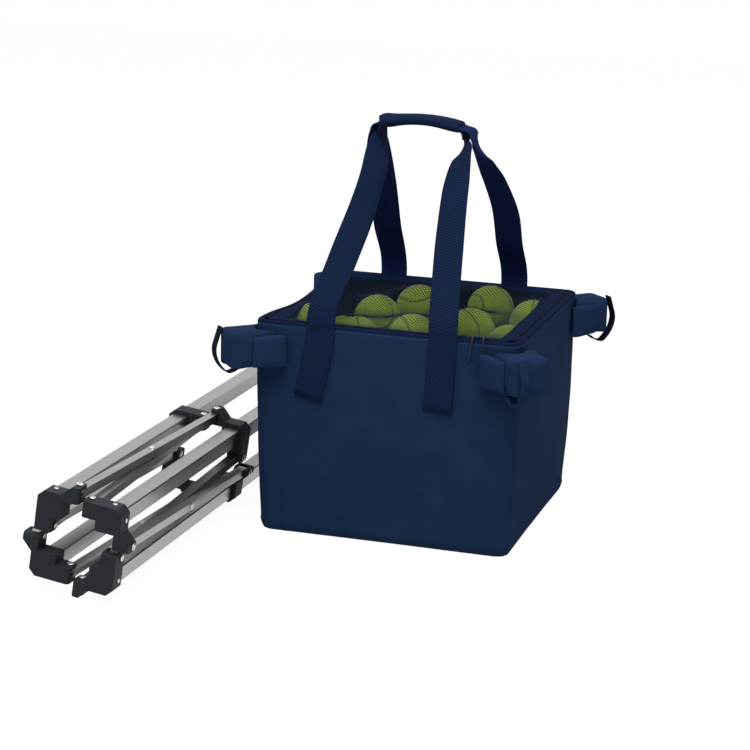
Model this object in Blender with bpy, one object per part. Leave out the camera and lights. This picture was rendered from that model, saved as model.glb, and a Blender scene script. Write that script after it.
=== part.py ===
"""Tennis ball cart: a zipped ball bag, and the four-leg folding stand that it hangs on.

The bag stands full of balls, and the stand lies folded at its left, as on a court bench.
World frame: origin at the centre of the bag's base on the floor, X right, Y back, Z up, metres.
The stand has its own frame: X across, Y from its top brackets to its casters, Z up.
"""

import math

import bmesh
import bpy
import numpy as np
from mathutils import Matrix, Vector, geometry

GAP = 0.0003  # between pieces that touch
ROUND_STEPS = 8  # sides of a small round piece
WHEEL_STEPS = 20

# Ball bag
BAG_WIDTH = 0.363
BAG_DEPTH = 0.358
BAG_HEIGHT = 0.2935
BAG_CORNER = 0.018
LEAST_CORNER = 0.004  # of bands that lie further in
BAG_WALL = 0.003
BASE_TAPER = 0.035  # share that the foot of the bag is narrower
PANEL_BULGE = 0.005
LEFT_RIM_SAG = 0.011
BASE_THICKNESS = 0.004
BINDING_HEIGHT = 0.006
BINDING_WIDTH = 0.006
ZIP_WIDTH = 0.009
ZIP_THICKNESS = 0.002
LID_BORDER_WIDTH = 0.016
LID_THICKNESS = 0.0016
LID_RISE = 0.026
NET_GAPS = 12  # along each side of the mesh lid
NET_STRAND = 0.0030

# Zip sliders
ZIP_SLIDER_LENGTH = 0.011
ZIP_SLIDER_WIDTH = 0.007
ZIP_SLIDER_HEIGHT = 0.004
ZIP_SLIDER_X = (0.120, 0.134)
ZIP_PULL_WIDTH = 0.003
ZIP_PULL_LENGTH = 0.026

# Carry handles
STRAP_WIDTH = 0.039
STRAP_THICKNESS = 0.0025
FRONT_STRAP_X = (-0.087, 0.080)
BACK_STRAP_X = (-0.095, 0.0865)
SEWN_LENGTH = 0.094
HINGE_GAP = 0.0022
GRIP_HEIGHT = BAG_HEIGHT + 0.2555
GRIP_CENTRE = -0.0045
GRIP_LENGTH = 0.108
GRIP_WIDTH = 0.049
GRIP_THICKNESS = 0.015
GRIP_PINCH = 0.90  # thickness at its middle as a share of that at its ends
GRIP_SLOPE = -0.02
GRIP_ARCH = 0.008  # how far its ends droop
GRIP_CLEARANCE = 0.0008
WEB_SPACING = 0.004  # between the middles of the two webs inside the grip
WEB_END = 0.003  # how far past the grip the webs stay level

# A web's limbs, left and right: X, then shares of the foot's depth and of the rise to the grip
UPRIGHT = 0.054
FRONT_LIMBS = (
    ((-0.0752, 0.745, 0.321), (-0.0622, 0.484, 0.574), (-0.0585, 0.310, 0.729), (-0.0620, 0.110, 0.845)),
    ((0.0709, 0.764, 0.300), (0.0645, 0.566, 0.500), (0.0590, 0.356, 0.688), (0.0545, 0.135, 0.825)),
)
BACK_LIMBS = (
    ((-0.0926, 0.727, 0.339), (-0.0860, 0.463, 0.591), (-0.0790, 0.160, 0.825)),
    ((0.0864, 0.783, 0.278), (0.0872, 0.570, 0.494), (0.0806, 0.403, 0.645), (0.0715, 0.190, 0.805)),
)
# Where they bend over to the grip: past its end, share of the foot's depth, below the web's level
FRONT_BEND = ((0.0015, 0.008, 0.0145), (0.0018, 0.001, 0.0048))
BACK_BEND = ((0.0145, 0.008, 0.0135), (0.0100, 0.001, 0.0034))
# How far each limb has turned edge-on, by its share of the rise
LEFT_TURN = ((0.15, 0.0), (0.58, 0.50), (0.83, 0.72), (0.91, 1.0))
RIGHT_TURN = ((0.42, 0.0), (0.70, 0.22), (0.82, 0.52), (0.91, 1.0))

# Corner pockets
POCKET_TOP = BAG_HEIGHT - 0.010
POCKET_HEIGHT = 0.052
POCKET_WIDTH = 0.054
POCKET_REACH = 0.298  # from the bag's centre to the outer face, along the diagonal
POCKET_WALL = 0.0035
WING_LENGTH = 0.045
WING_THICKNESS = 0.009
POCKET_STANDOFF = 0.0022  # clear of the bulged walls
POCKET_BEVEL = 0.004
LOOP_WIDTH = 0.019
LOOP_THICKNESS = 0.0016

# Balls
BALL_RADIUS = 0.0335
BALL_PITCH = 0.067
BALL_LAYER_RISE = BALL_PITCH / math.sqrt(2)
FULL_LAYERS = 5
EMPTY_PLACE = (0, 4)  # column and row of the upper layer where one ball is missing
TOP_BALLS = (
    (0.062, 0.124, 0.262),
    (-0.028, 0.090, 0.266),
    (-0.070, 0.028, 0.260),
    (-0.060, -0.104, 0.258),
    (0.072, -0.008, 0.264),
    (0.136, -0.062, 0.255),
    (0.135, 0.066, 0.255),
    (-0.128, -0.070, 0.253),
    (0.010, -0.072, 0.261),
)

# Folding stand
LEG_SIDE = 0.022
LEG_WALL = 0.0012
LEG_END = 0.860
LEG_PLUG = 0.024
LEG_SPACING = 0.080
OPEN_SPACING = 0.380
FITTING_WALL = 0.006
FITTING_DEPTH = 0.025
FITTING_PLATE = 0.008
FITTING_CHAMFER = 0.008
LEG_CLEARANCE = 0.0003
SLIDER_CLEARANCE = 0.0005
ARM_PIVOT = 0.031  # from the leg's axis to the link's pivot
PIVOT_DEPTH = 0.016
ARM_END_MARGIN = 0.0065
EAR = 0.004
LINK_LAYER = 0.013
OFFSET_RISE = 0.013
LINK_THICKNESS = 0.012
LINK_WIDTH = 0.011
LINK_WALL = 0.0014
LINK_LENGTH = 0.400
PIN_RADIUS = 0.0025
RIVET_HEAD_RADIUS = 0.0045
RIVET_HEAD_HEIGHT = 0.0014

# Casters
CASTER_RADIUS = 0.0225
CASTER_WIDTH = 0.015
CASTER_TRAIL = 0.015
CASTER_PLATE = 0.003
CASTER_PLATE_RADIUS = 0.0125
CASTER_STEM_RADIUS = 0.005
CASTER_STEM_LENGTH = 0.016
CASTER_CLEARANCE = 0.003
CHEEK = 0.0025
AXLE_RADIUS = 0.003
AXLE_BOSS_RADIUS = 0.007

# Where the folded stand lies
STAND_FRONT = (-0.2895, -0.513)  # centre of the bracket ring at its front face
STAND_TURN = math.radians(0.9)
STAND_ROLL = math.radians(7.9)

HALF_SPACING = LEG_SPACING / 2
BLOCK_HALF = LEG_SIDE / 2 + FITTING_WALL
SPREAD_ANGLE = math.asin((LEG_SPACING - 2 * ARM_PIVOT) / LINK_LENGTH)
OPEN_ANGLE = math.asin((OPEN_SPACING - 2 * ARM_PIVOT) / LINK_LENGTH)
SLIDER_PIVOT = PIVOT_DEPTH + LINK_LENGTH * math.cos(SPREAD_ANGLE)
OUTER_LAYER = BLOCK_HALF - EAR + LINK_LAYER / 2
INNER_LAYER = OUTER_LAYER - LINK_LAYER
AXLE_DEPTH = LEG_END + CASTER_PLATE + CASTER_CLEARANCE + CASTER_RADIUS
CORNERS = ("upper_left", "upper_right", "lower_right", "lower_left")
SIDES = ("top", "right", "bottom", "left")

MATERIALS = {
    "navy_fabric": ((0.012, 0.024, 0.070), 0.85, 0.0),
    "navy_webbing": ((0.010, 0.018, 0.058), 0.80, 0.0),
    "dark_mesh": ((0.010, 0.014, 0.030), 0.90, 0.0),
    "black_webbing": ((0.008, 0.009, 0.014), 0.80, 0.0),
    "ball_felt": ((0.36, 0.46, 0.035), 0.95, 0.0),
    "aluminium_tube": ((0.55, 0.55, 0.53), 0.38, 0.9),
    "black_moulding": ((0.020, 0.022, 0.030), 0.55, 0.0),
    "rivet_steel": ((0.45, 0.45, 0.45), 0.30, 1.0),
    "wheel_rubber": ((0.030, 0.030, 0.032), 0.75, 0.0),
}


def clear_scene():
    for obj in list(bpy.data.objects):
        bpy.data.objects.remove(obj, do_unlink=True)


def make_material(name):
    colour, roughness, metallic = MATERIALS[name]
    material = bpy.data.materials.new(name)
    material.use_nodes = True
    shader = material.node_tree.nodes["Principled BSDF"]
    shader.inputs["Base Color"].default_value = (*colour, 1.0)
    shader.inputs["Roughness"].default_value = roughness
    shader.inputs["Metallic"].default_value = metallic
    return material


def face_out(form):
    """Points a closed shape's faces outwards."""
    bmesh.ops.recalc_face_normals(form, faces=form.faces)
    if form.calc_volume(signed=True) < 0:
        bmesh.ops.reverse_faces(form, faces=form.faces)


def finish_mesh(name, form, material, smooth=False):
    """Turns a bmesh into a mesh with its faces outwards and its material."""
    face_out(form)
    mesh = bpy.data.meshes.new(name)
    form.to_mesh(mesh)
    form.free()
    mesh.materials.append(bpy.data.materials[material])
    if smooth:
        mesh.shade_smooth()
        mesh.set_sharp_from_angle(angle=math.radians(40))
    return mesh


def place(name, mesh, matrix=None, parent=None):
    """Puts a mesh in the scene, carried by an empty if one is given."""
    obj = bpy.data.objects.new(name, mesh)
    bpy.context.scene.collection.objects.link(obj)
    if parent is not None:
        obj.parent = parent
    if matrix is not None:
        obj.matrix_local = matrix
    return obj


def place_pivot(name, matrix, parent=None):
    """An empty on a joint's axis, which carries the pieces that turn or slide there."""
    empty = bpy.data.objects.new(name, None)
    empty.empty_display_size = 0.02
    bpy.context.scene.collection.objects.link(empty)
    empty.parent = parent
    empty.matrix_local = matrix
    return empty


def boolean_of(form, tools):
    """Runs (operation, bmesh) pairs on a bmesh in turn and gives the result."""
    for operation, tool in tools:
        meshes = []
        for part in (form, tool):
            face_out(part)
            mesh = bpy.data.meshes.new("working")
            part.to_mesh(mesh)
            part.free()
            meshes.append(mesh)
        target, cutter = (bpy.data.objects.new("working", mesh) for mesh in meshes)
        for obj in (target, cutter):
            bpy.context.scene.collection.objects.link(obj)
        modifier = target.modifiers.new("Boolean", "BOOLEAN")
        modifier.operation = operation
        modifier.solver = "EXACT"
        modifier.object = cutter
        graph = bpy.context.evaluated_depsgraph_get()
        form = bmesh.new()
        form.from_object(target, graph)
        for obj in (target, cutter):
            bpy.data.objects.remove(obj, do_unlink=True)
    return form


def prism(outline, low, high, axis="Y"):
    """Extrudes a flat outline; its points are (X, Z) along Y, (X, Y) along Z, (Y, Z) along X."""
    lift = {
        "X": lambda a, b, c: (c, a, b),
        "Y": lambda a, b, c: (a, c, b),
        "Z": lambda a, b, c: (a, b, c),
    }[axis]
    form = bmesh.new()
    rings = [[form.verts.new(lift(a, b, level)) for a, b in outline] for level in (low, high)]
    form.faces.new(rings[0])
    form.faces.new(rings[1])
    join_rings(form, rings, closed_rings=True)
    bmesh.ops.recalc_face_normals(form, faces=form.faces)
    return form


def join_rings(form, rings, closed_rings, closed_path=False):
    """Quads between each ring of vertices and the next."""
    pairs = list(zip(rings, rings[1:]))
    if closed_path:
        pairs.append((rings[-1], rings[0]))
    for first, second in pairs:
        count = len(first)
        last = count if closed_rings else count - 1
        for index in range(last):
            after = (index + 1) % count
            form.faces.new((first[index], first[after], second[after], second[index]))


def box(low, high):
    """A box between two corners."""
    outline = ((low[0], low[2]), (high[0], low[2]), (high[0], high[2]), (low[0], high[2]))
    return prism(outline, low[1], high[1])


def turned(profile, steps=ROUND_STEPS, axis="Y"):
    """Turns (radius, level) points round an axis; a radius of 0 closes an end."""
    form = bmesh.new()
    rings = []
    for radius, level in profile:
        points = []
        for step in range(steps):
            angle = 2 * math.pi * step / steps
            across, up = radius * math.cos(angle), radius * math.sin(angle)
            points.append((across, level, up) if axis == "Y" else (across, up, level))
        rings.append([form.verts.new(point) for point in points])
    closed = profile[0] == profile[-1]
    if closed:
        for vertex in rings.pop():
            form.verts.remove(vertex)
    else:
        form.faces.new(rings[0])
        form.faces.new(rings[-1])
    join_rings(form, rings, closed_rings=True, closed_path=closed)
    bmesh.ops.recalc_face_normals(form, faces=form.faces)
    return form


def running_bore(radius, steps=ROUND_STEPS):
    """Radius of a hole whose flats clear a round piece of the given radius."""
    return (radius + GAP) / math.cos(math.pi / steps)


def moved(form, offset):
    bmesh.ops.translate(form, vec=Vector(offset), verts=form.verts)
    return form


def square_outline(half, chamfers):
    """A square's outline, with its own chamfer at (-,-), (+,-), (+,+) and (-,+)."""
    points = []
    signs = ((-1, -1), (1, -1), (1, 1), (-1, 1))
    for (sx, sz), cut in zip(signs, chamfers):
        side, level = (sx * half, sz * (half - cut)), (sx * (half - cut), sz * half)
        points += [side, level] if sx * sz > 0 else [level, side]
    return points


# The bag's shape

def bag_stations(arc_steps=3, side_steps=6):
    """Places along one side of the bag, from the middle of a corner to the middle of the next."""
    inset = GAP / 2 / BAG_CORNER
    stations = []
    for step in range(arc_steps + 1):
        stations.append(("start", math.pi / 4 - inset - (math.pi / 4 - inset) * step / arc_steps))
    stations += [("side", 2 * step / side_steps - 1) for step in range(1, side_steps)]
    for step in range(arc_steps + 1):
        stations.append(("end", (math.pi / 4 - inset) * step / arc_steps))
    return stations


def side_point(side, station, level, inset=0.0, bulged=True):
    """A point of the bag's skin: side 0 is the front, 1 the right, 2 the back, 3 the left."""
    share = min(max(level / BAG_HEIGHT, 0.0), 1.0)
    narrow = 1 - BASE_TAPER * (1 - share) ** 1.5
    half_x, half_y = BAG_WIDTH / 2 * narrow, BAG_DEPTH / 2 * narrow
    along_half, out_half = (half_x, half_y) if side % 2 == 0 else (half_y, half_x)
    corner = max(BAG_CORNER, inset + LEAST_CORNER)
    reach, straight = corner - inset, along_half - corner
    kind, value = station
    if kind == "side":
        along, out = value * straight, out_half - inset
    else:
        sign = -1 if kind == "start" else 1
        along = sign * (straight + reach * math.sin(value))
        out = out_half - corner + reach * math.cos(value)
    if bulged:
        swell = max(0.0, 1 - (along / along_half) ** 2) * math.sin(math.pi * share)
        out += PANEL_BULGE * swell
    directions = (((1, 0), (0, -1)), ((0, 1), (1, 0)), ((-1, 0), (0, 1)), ((0, -1), (-1, 0)))
    (ex, ey), (nx, ny) = directions[side]
    return Vector((ex * along + nx * out, ey * along + ny * out, level))


def rim_sag(point):
    """How far the left side of the rim hangs below its corners."""
    reach = max(0.0, -point.x / (BAG_WIDTH / 2))
    across = min(1.0, abs(point.y) / (BAG_DEPTH / 2 - BAG_CORNER))
    return LEFT_RIM_SAG * reach ** 6 * math.cos(across * math.pi / 2) ** 2


def sagged(point, share=1.0):
    return Vector((point.x, point.y, point.z - rim_sag(point) * share))


def bag_panel(side, rows=7):
    """One side wall of the bag, from the middle of a corner to the middle of the next."""
    top = BAG_HEIGHT - BINDING_HEIGHT - GAP
    form = bmesh.new()
    skins = []
    for inset in (0.0, BAG_WALL):
        grid = []
        for row in range(rows + 1):
            level = top * row / rows
            line = [side_point(side, station, level, inset) for station in bag_stations()]
            grid.append([form.verts.new(sagged(point, (row / rows) ** 3)) for point in line])
        skins.append(grid)
    outer, inner = skins
    join_rings(form, outer, closed_rings=False)
    join_rings(form, inner, closed_rings=False)
    for grid_a, grid_b in ((outer[0], inner[0]), (outer[-1], inner[-1])):
        join_rings(form, [grid_a, grid_b], closed_rings=False)
    for end in (0, -1):
        join_rings(form, [[row[end] for row in outer], [row[end] for row in inner]], False)
    return form


def sewn_strap(side, centre):
    """The end of a handle web that is sewn flat on the bag's front or back wall."""
    sink = 0.001
    outline_half = BAG_WIDTH / 2 - BAG_CORNER
    form = bmesh.new()
    rings = []
    top = strap_foot() - HINGE_GAP
    for level in (top, top - SEWN_LENGTH / 3, top - 2 * SEWN_LENGTH / 3, top - SEWN_LENGTH):
        ring = []
        for across, inset in (
            (-STRAP_WIDTH / 2, -strap_out() - STRAP_THICKNESS / 2),
            (STRAP_WIDTH / 2, -strap_out() - STRAP_THICKNESS / 2),
            (STRAP_WIDTH / 2, sink),
            (-STRAP_WIDTH / 2, sink),
        ):
            sign = 1 if side == 0 else -1
            station = ("side", sign * (centre + across) / outline_half)
            ring.append(form.verts.new(side_point(side, station, level, inset)))
        rings.append(ring)
    join_rings(form, rings, closed_rings=True)
    form.faces.new(rings[0])
    form.faces.new(rings[-1])
    return form


def strap_out():
    """How far the middle of a handle web stands out from the bag's wall."""
    return GAP + STRAP_THICKNESS / 2


def strap_foot():
    """Height of the fold where a handle leaves the wall."""
    return BAG_HEIGHT - BINDING_HEIGHT - GAP


def rim_band(outer_inset, width, low, high, sides=(0, 1, 2, 3)):
    """A flat band that follows the rim, closed all round or open over three sides."""
    form = bmesh.new()
    rings = []
    closed = len(sides) == 4
    for side in sides:
        stations = bag_stations()
        for index, station in enumerate(stations):
            if index == 0 and (closed or side != sides[0]):
                continue
            ring = []
            for inset, level in (
                (outer_inset, low),
                (outer_inset + width, low),
                (outer_inset + width, high),
                (outer_inset, high),
            ):
                point = side_point(side, station, BAG_HEIGHT, inset, bulged=False)
                point.z = level
                ring.append(form.verts.new(sagged(point)))
            rings.append(ring)
    join_rings(form, rings, closed_rings=True, closed_path=closed)
    if not closed:
        form.faces.new(rings[0])
        form.faces.new(rings[-1])
    return form


def net_point(across, along, half_x, half_y, radius, lift):
    """A point of the mesh lid from its share of the half widths, rounded off at the corners."""
    x, y = across * half_x, along * half_y
    over_x, over_y = abs(x) - (half_x - radius), abs(y) - (half_y - radius)
    if over_x > 0 and over_y > 0:
        reach = math.hypot(over_x, over_y)
        square = max(over_x, over_y)
        x = math.copysign(half_x - radius + over_x * square / reach, x)
        y = math.copysign(half_y - radius + over_y * square / reach, y)
    rise = LID_RISE * (1 - across ** 2) * (1 - along ** 2)
    point = Vector((x, y, BAG_HEIGHT - LID_THICKNESS + lift + rise))
    return sagged(point)


def mesh_lid():
    """The domed net, with its square gaps cut right through."""
    inset = BINDING_WIDTH + ZIP_WIDTH + LID_BORDER_WIDTH + 3 * GAP
    half_x, half_y = BAG_WIDTH / 2 - inset, BAG_DEPTH / 2 - inset
    radius = max(BAG_CORNER - inset, LEAST_CORNER)
    cell = (2 * half_x - NET_STRAND) / NET_GAPS
    shares = []
    for index in range(NET_GAPS + 1):
        start = -half_x + index * cell
        shares += [start / half_x, (start + NET_STRAND) / half_x]
    form = bmesh.new()
    grids = []
    for lift in (0.0, LID_THICKNESS):
        grids.append([
            [form.verts.new(net_point(a, b, half_x, half_y, radius, lift)) for a in shares]
            for b in shares
        ])
    count = len(shares) - 1

    def is_gap(row, column):
        inside = 0 <= row < count and 0 <= column < count
        return not inside or (row % 2 == 1 and column % 2 == 1)

    low, high = grids
    for row in range(count):
        for column in range(count):
            if is_gap(row, column):
                continue
            for grid in (low, high):
                form.faces.new((
                    grid[row][column], grid[row][column + 1],
                    grid[row + 1][column + 1], grid[row + 1][column],
                ))
            edges = (
                ((row, column), (row, column + 1), (row - 1, column)),
                ((row, column + 1), (row + 1, column + 1), (row, column + 1)),
                ((row + 1, column + 1), (row + 1, column), (row + 1, column)),
                ((row + 1, column), (row, column), (row, column - 1)),
            )
            for (r1, c1), (r2, c2), neighbour in edges:
                if is_gap(*neighbour):
                    form.faces.new((low[r1][c1], low[r2][c2], high[r2][c2], high[r1][c1]))
    return form


def zip_slider():
    """A slider body that straddles the zip, with a pull that hangs over the rim."""
    body = box(
        (-ZIP_SLIDER_LENGTH / 2, -ZIP_SLIDER_WIDTH / 2, 0.0),
        (ZIP_SLIDER_LENGTH / 2, ZIP_SLIDER_WIDTH / 2, ZIP_SLIDER_HEIGHT),
    )
    half = ZIP_PULL_WIDTH / 2
    out = -(BINDING_WIDTH + ZIP_WIDTH / 2 + GAP)
    thick = 0.0012
    path = (
        (0.001, ZIP_SLIDER_HEIGHT - 0.001),
        (out - 0.002, ZIP_SLIDER_HEIGHT - 0.001),
        (out - 0.003, -ZIP_PULL_LENGTH),
        (out - 0.003 - thick, -ZIP_PULL_LENGTH),
        (out - 0.002 - thick, ZIP_SLIDER_HEIGHT - 0.001 + thick),
        (0.001, ZIP_SLIDER_HEIGHT - 0.001 + thick),
    )
    pull = prism(path, -half, half, axis="X")
    return boolean_of(body, [("UNION", pull)])


# Handles

def smooth_path(points, steps):
    """A smooth curve through points, with the same number of steps between any two."""
    runs = [end - start for start, end in zip(points, points[1:])]
    headings = [runs[0].normalized()]
    for before, after in zip(runs, runs[1:]):
        bend = before.normalized() * after.length + after.normalized() * before.length
        headings.append(bend.normalized())
    headings.append(runs[-1].normalized())
    path = []
    for index, (start, end) in enumerate(zip(points, points[1:])):
        leave, arrive = (headings[place] * (end - start).length for place in (index, index + 1))
        for step in range(steps):
            t = step / steps
            ahead = t ** 2 * (3 - 2 * t)
            point = start * (1 - ahead) + end * ahead
            path.append(point + leave * t * (1 - t) ** 2 - arrive * t ** 2 * (1 - t))
    path.append(points[-1].copy())
    return path


def ribbon(path, width_directions, width, thickness):
    """A flat web along a path; each direction says which way its width lies there."""
    form = bmesh.new()
    rings = []
    for index, point in enumerate(path):
        before, after = path[max(index - 1, 0)], path[min(index + 1, len(path) - 1)]
        tangent = (after - before).normalized()
        across = width_directions[index]
        across = (across - tangent * across.dot(tangent)).normalized()
        out = tangent.cross(across)
        corners = ((-1, -1), (1, -1), (1, 1), (-1, 1))
        ring = [point + across * (a * width / 2) + out * (b * thickness / 2) for a, b in corners]
        rings.append([form.verts.new(corner) for corner in ring])
    join_rings(form, rings, closed_rings=True)
    form.faces.new(rings[0])
    form.faces.new(rings[-1])
    return form


def grip_height(x):
    """Height of the grip's middle line, which is arched."""
    place_on = (x - GRIP_CENTRE) / (GRIP_LENGTH / 2)
    return GRIP_HEIGHT + GRIP_SLOPE * (x - GRIP_CENTRE) - GRIP_ARCH * place_on ** 2


def handle_route(back):
    """The middle line of a handle's web, from its left foot to its right foot."""
    foot_y = (1 if back else -1) * (BAG_DEPTH / 2 + strap_out())
    foot = strap_foot()
    rise = GRIP_HEIGHT - foot
    level = WEB_SPACING / 2 if back else -WEB_SPACING / 2
    limbs, feet = (BACK_LIMBS, BACK_STRAP_X) if back else (FRONT_LIMBS, FRONT_STRAP_X)
    route = []
    for side, limb, foot_x in zip((-1, 1), limbs, feet):
        points = [(foot_x, foot_y, foot), (foot_x, foot_y, foot + UPRIGHT * rise)]
        points += [(x, foot_y * out, foot + rise * up) for x, out, up in limb]
        end = GRIP_CENTRE + side * (GRIP_LENGTH / 2 + WEB_END)
        top = grip_height(end) + level
        for beyond, out, below in BACK_BEND if back else FRONT_BEND:
            points.append((end + side * beyond, foot_y * out, top - below))
        points.append((end, 0.0, top))
        for share in (0.9, 0.45):
            x = GRIP_CENTRE + side * share * GRIP_LENGTH / 2
            points.append((x, 0.0, grip_height(x) + level))
        route += points if side < 0 else [(GRIP_CENTRE, 0.0, GRIP_HEIGHT + level), *reversed(points)]
    return [Vector(point) for point in route]


def width_direction(point):
    """The way a web's width lies: across the bag at its feet, front to back in the grip."""
    share = (point.z - strap_foot()) / (GRIP_HEIGHT - strap_foot())
    on_left = point.x < GRIP_CENTRE
    turn = np.interp(share, *zip(*(LEFT_TURN if on_left else RIGHT_TURN)))
    angle = math.pi / 2 * (turn if on_left else 2 - turn)
    return Vector((math.cos(angle), math.sin(angle), 0.0))


def handle(back):
    """A carry handle: one web that turns edge-on to the bag as it rises to the grip."""
    path = smooth_path(handle_route(back), steps=3)
    directions = [width_direction(point) for point in path]
    return ribbon(path, directions, STRAP_WIDTH, STRAP_THICKNESS)


def grip_wrap():
    """The padded sleeve that closes round both webs."""
    steps = 12
    hollow_y = STRAP_WIDTH / 2 + GRIP_CLEARANCE
    hollow_z = WEB_SPACING / 2 + STRAP_THICKNESS / 2 + GRIP_CLEARANCE
    corners = ((hollow_y, hollow_z), (-hollow_y, hollow_z), (-hollow_y, -hollow_z), (hollow_y, -hollow_z))
    form = bmesh.new()
    outer_rings, inner_rings = [], []
    for share in (-1.0, -0.9, -0.65, -0.33, 0.0, 0.33, 0.65, 0.9, 1.0):
        x = GRIP_CENTRE + share * GRIP_LENGTH / 2
        height = grip_height(x)
        thickness = GRIP_THICKNESS * (GRIP_PINCH + (1 - GRIP_PINCH) * share ** 2)
        outer = []
        for step in range(steps):
            angle = 2 * math.pi * (step + 0.5) / steps
            cosine, sine = math.cos(angle), math.sin(angle)
            y = math.copysign(abs(cosine) ** 0.6, cosine) * GRIP_WIDTH / 2
            z = math.copysign(abs(sine) ** 0.6, sine) * thickness / 2
            outer.append(form.verts.new((x, y, height + z)))
        outer_rings.append(outer)
        inner_rings.append([form.verts.new((x, y, height + z)) for y, z in corners])
    join_rings(form, outer_rings, closed_rings=True)
    join_rings(form, inner_rings, closed_rings=True)
    for end in (0, -1):
        outer, inner = outer_rings[end], inner_rings[end]
        for quarter in range(4):
            start = quarter * 3 + 1
            for step in range(3):
                a, b = outer[(start + step) % steps], outer[(start + step + 1) % steps]
                corner = (quarter + (1 if step > 1 else 0)) % 4
                form.faces.new((a, b, inner[corner]))
            split = outer[(start + 2) % steps]
            form.faces.new((split, inner[(quarter + 1) % 4], inner[quarter]))
    return form


# Corner pockets

def on_diagonal(reach, across):
    """A point at the back right corner, from its place along and across the diagonal."""
    root2 = math.sqrt(2)
    return ((reach - across) / root2, (reach + across) / root2)


def pocket_outline(bag_gap):
    """The pocket seen from above at the back right corner."""
    half = max(BAG_WIDTH, BAG_DEPTH) / 2
    across = POCKET_WIDTH / 2
    inner = half + bag_gap
    outer = inner + WING_THICKNESS
    wing = half - WING_LENGTH
    meet = outer - math.sqrt(2) * across
    bevel = POCKET_BEVEL
    centre, radius, steps = half - BAG_CORNER, BAG_CORNER + bag_gap, 6
    arc = []
    for step in range(steps + 1):
        angle = math.pi / 2 * step / steps
        arc.append((centre + radius * math.cos(angle), centre + radius * math.sin(angle)))
    return [
        *arc,
        (wing, inner), (wing, outer - bevel), (wing + bevel, outer), (meet, outer),
        on_diagonal(POCKET_REACH - bevel, across), on_diagonal(POCKET_REACH, across - bevel),
        on_diagonal(POCKET_REACH, bevel - across), on_diagonal(POCKET_REACH - bevel, -across),
        (outer, meet), (outer, wing + bevel), (outer - bevel, wing), (inner, wing),
    ]


def pocket_cavity():
    """The space for a stand bracket, open at the bottom."""
    across = POCKET_WIDTH / 2 - POCKET_WALL
    half = max(BAG_WIDTH, BAG_DEPTH) / 2
    inner = (half - BAG_CORNER) * math.sqrt(2) + BAG_CORNER + POCKET_WALL
    outer = POCKET_REACH - POCKET_WALL
    sides = ((inner, across), (inner, -across), (outer, -across), (outer, across))
    outline = [on_diagonal(reach, shift) for reach, shift in sides]
    bottom = POCKET_TOP - POCKET_HEIGHT
    return prism(outline, bottom - 0.002, POCKET_TOP - POCKET_WALL, axis="Z")


def corner_pocket():
    """A padded cap that hooks over one top bracket of the open stand."""
    form = prism(pocket_outline(GAP + POCKET_STANDOFF), POCKET_TOP - POCKET_HEIGHT, POCKET_TOP, axis="Z")
    return boolean_of(form, [("DIFFERENCE", pocket_cavity())])


def pocket_loop():
    """The web loop that is pulled to seat a pocket on its bracket."""
    root2 = math.sqrt(2)
    diagonal = Vector((1 / root2, 1 / root2, 0.0))
    across = Vector((1 / root2, -1 / root2, 0.0))
    bottom = POCKET_TOP - POCKET_HEIGHT
    clear = GAP + LOOP_THICKNESS / 2
    outer = POCKET_REACH + 0.001 + clear
    shift = POCKET_WIDTH / 2 - LOOP_WIDTH / 2 - 0.001
    points = (
        (outer, POCKET_TOP + 0.004),
        (outer + 0.002, POCKET_TOP - 0.012),
        (outer + 0.005, POCKET_TOP - 0.034),
        (outer - 0.001, bottom - 0.006),
        (outer - 0.014, bottom - 0.016),
        (outer - 0.026, bottom - 0.010),
        (outer - 0.034, bottom - clear - 0.0006),
    )
    route = [diagonal * reach + across * shift + Vector((0, 0, level)) for reach, level in points]
    path = smooth_path(route, 3)
    return ribbon(path, [across] * len(path), LOOP_WIDTH, LOOP_THICKNESS)


# Balls

def ball(centre):
    form = bmesh.new()
    bmesh.ops.create_icosphere(form, subdivisions=2, radius=BALL_RADIUS)
    return moved(form, centre)


def ball_heap():
    """The upper balls on a solid bed, which stands for the layers that nothing shows."""
    bed_top = BALL_RADIUS + (FULL_LAYERS - 1) * BALL_LAYER_RISE - 0.012
    inset = BAG_WALL + 0.004
    form = bmesh.new()
    rings = []
    floor = BASE_THICKNESS + GAP
    for level in (floor, bed_top * 0.3, bed_top * 0.65, bed_top):
        points = []
        for side in range(4):
            for station in bag_stations(2, 2)[1:]:
                points.append(side_point(side, station, level, inset, bulged=False))
        rings.append([form.verts.new(point) for point in points])
    join_rings(form, rings, closed_rings=True)
    form.faces.new(rings[0])
    form.faces.new(rings[-1])
    layer = BALL_RADIUS + (FULL_LAYERS - 1) * BALL_LAYER_RISE
    count = 5
    centres = []
    for row in range(count):
        for column in range(count):
            x = (column - (count - 1) / 2) * BALL_PITCH
            y = (row - (count - 1) / 2) * BALL_PITCH
            if (column, row) != EMPTY_PLACE:
                centres.append((x, y, layer))
    tools = [("UNION", ball(centre)) for centre in (*centres, *TOP_BALLS)]
    return boolean_of(form, tools)


# Stand fittings

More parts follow.
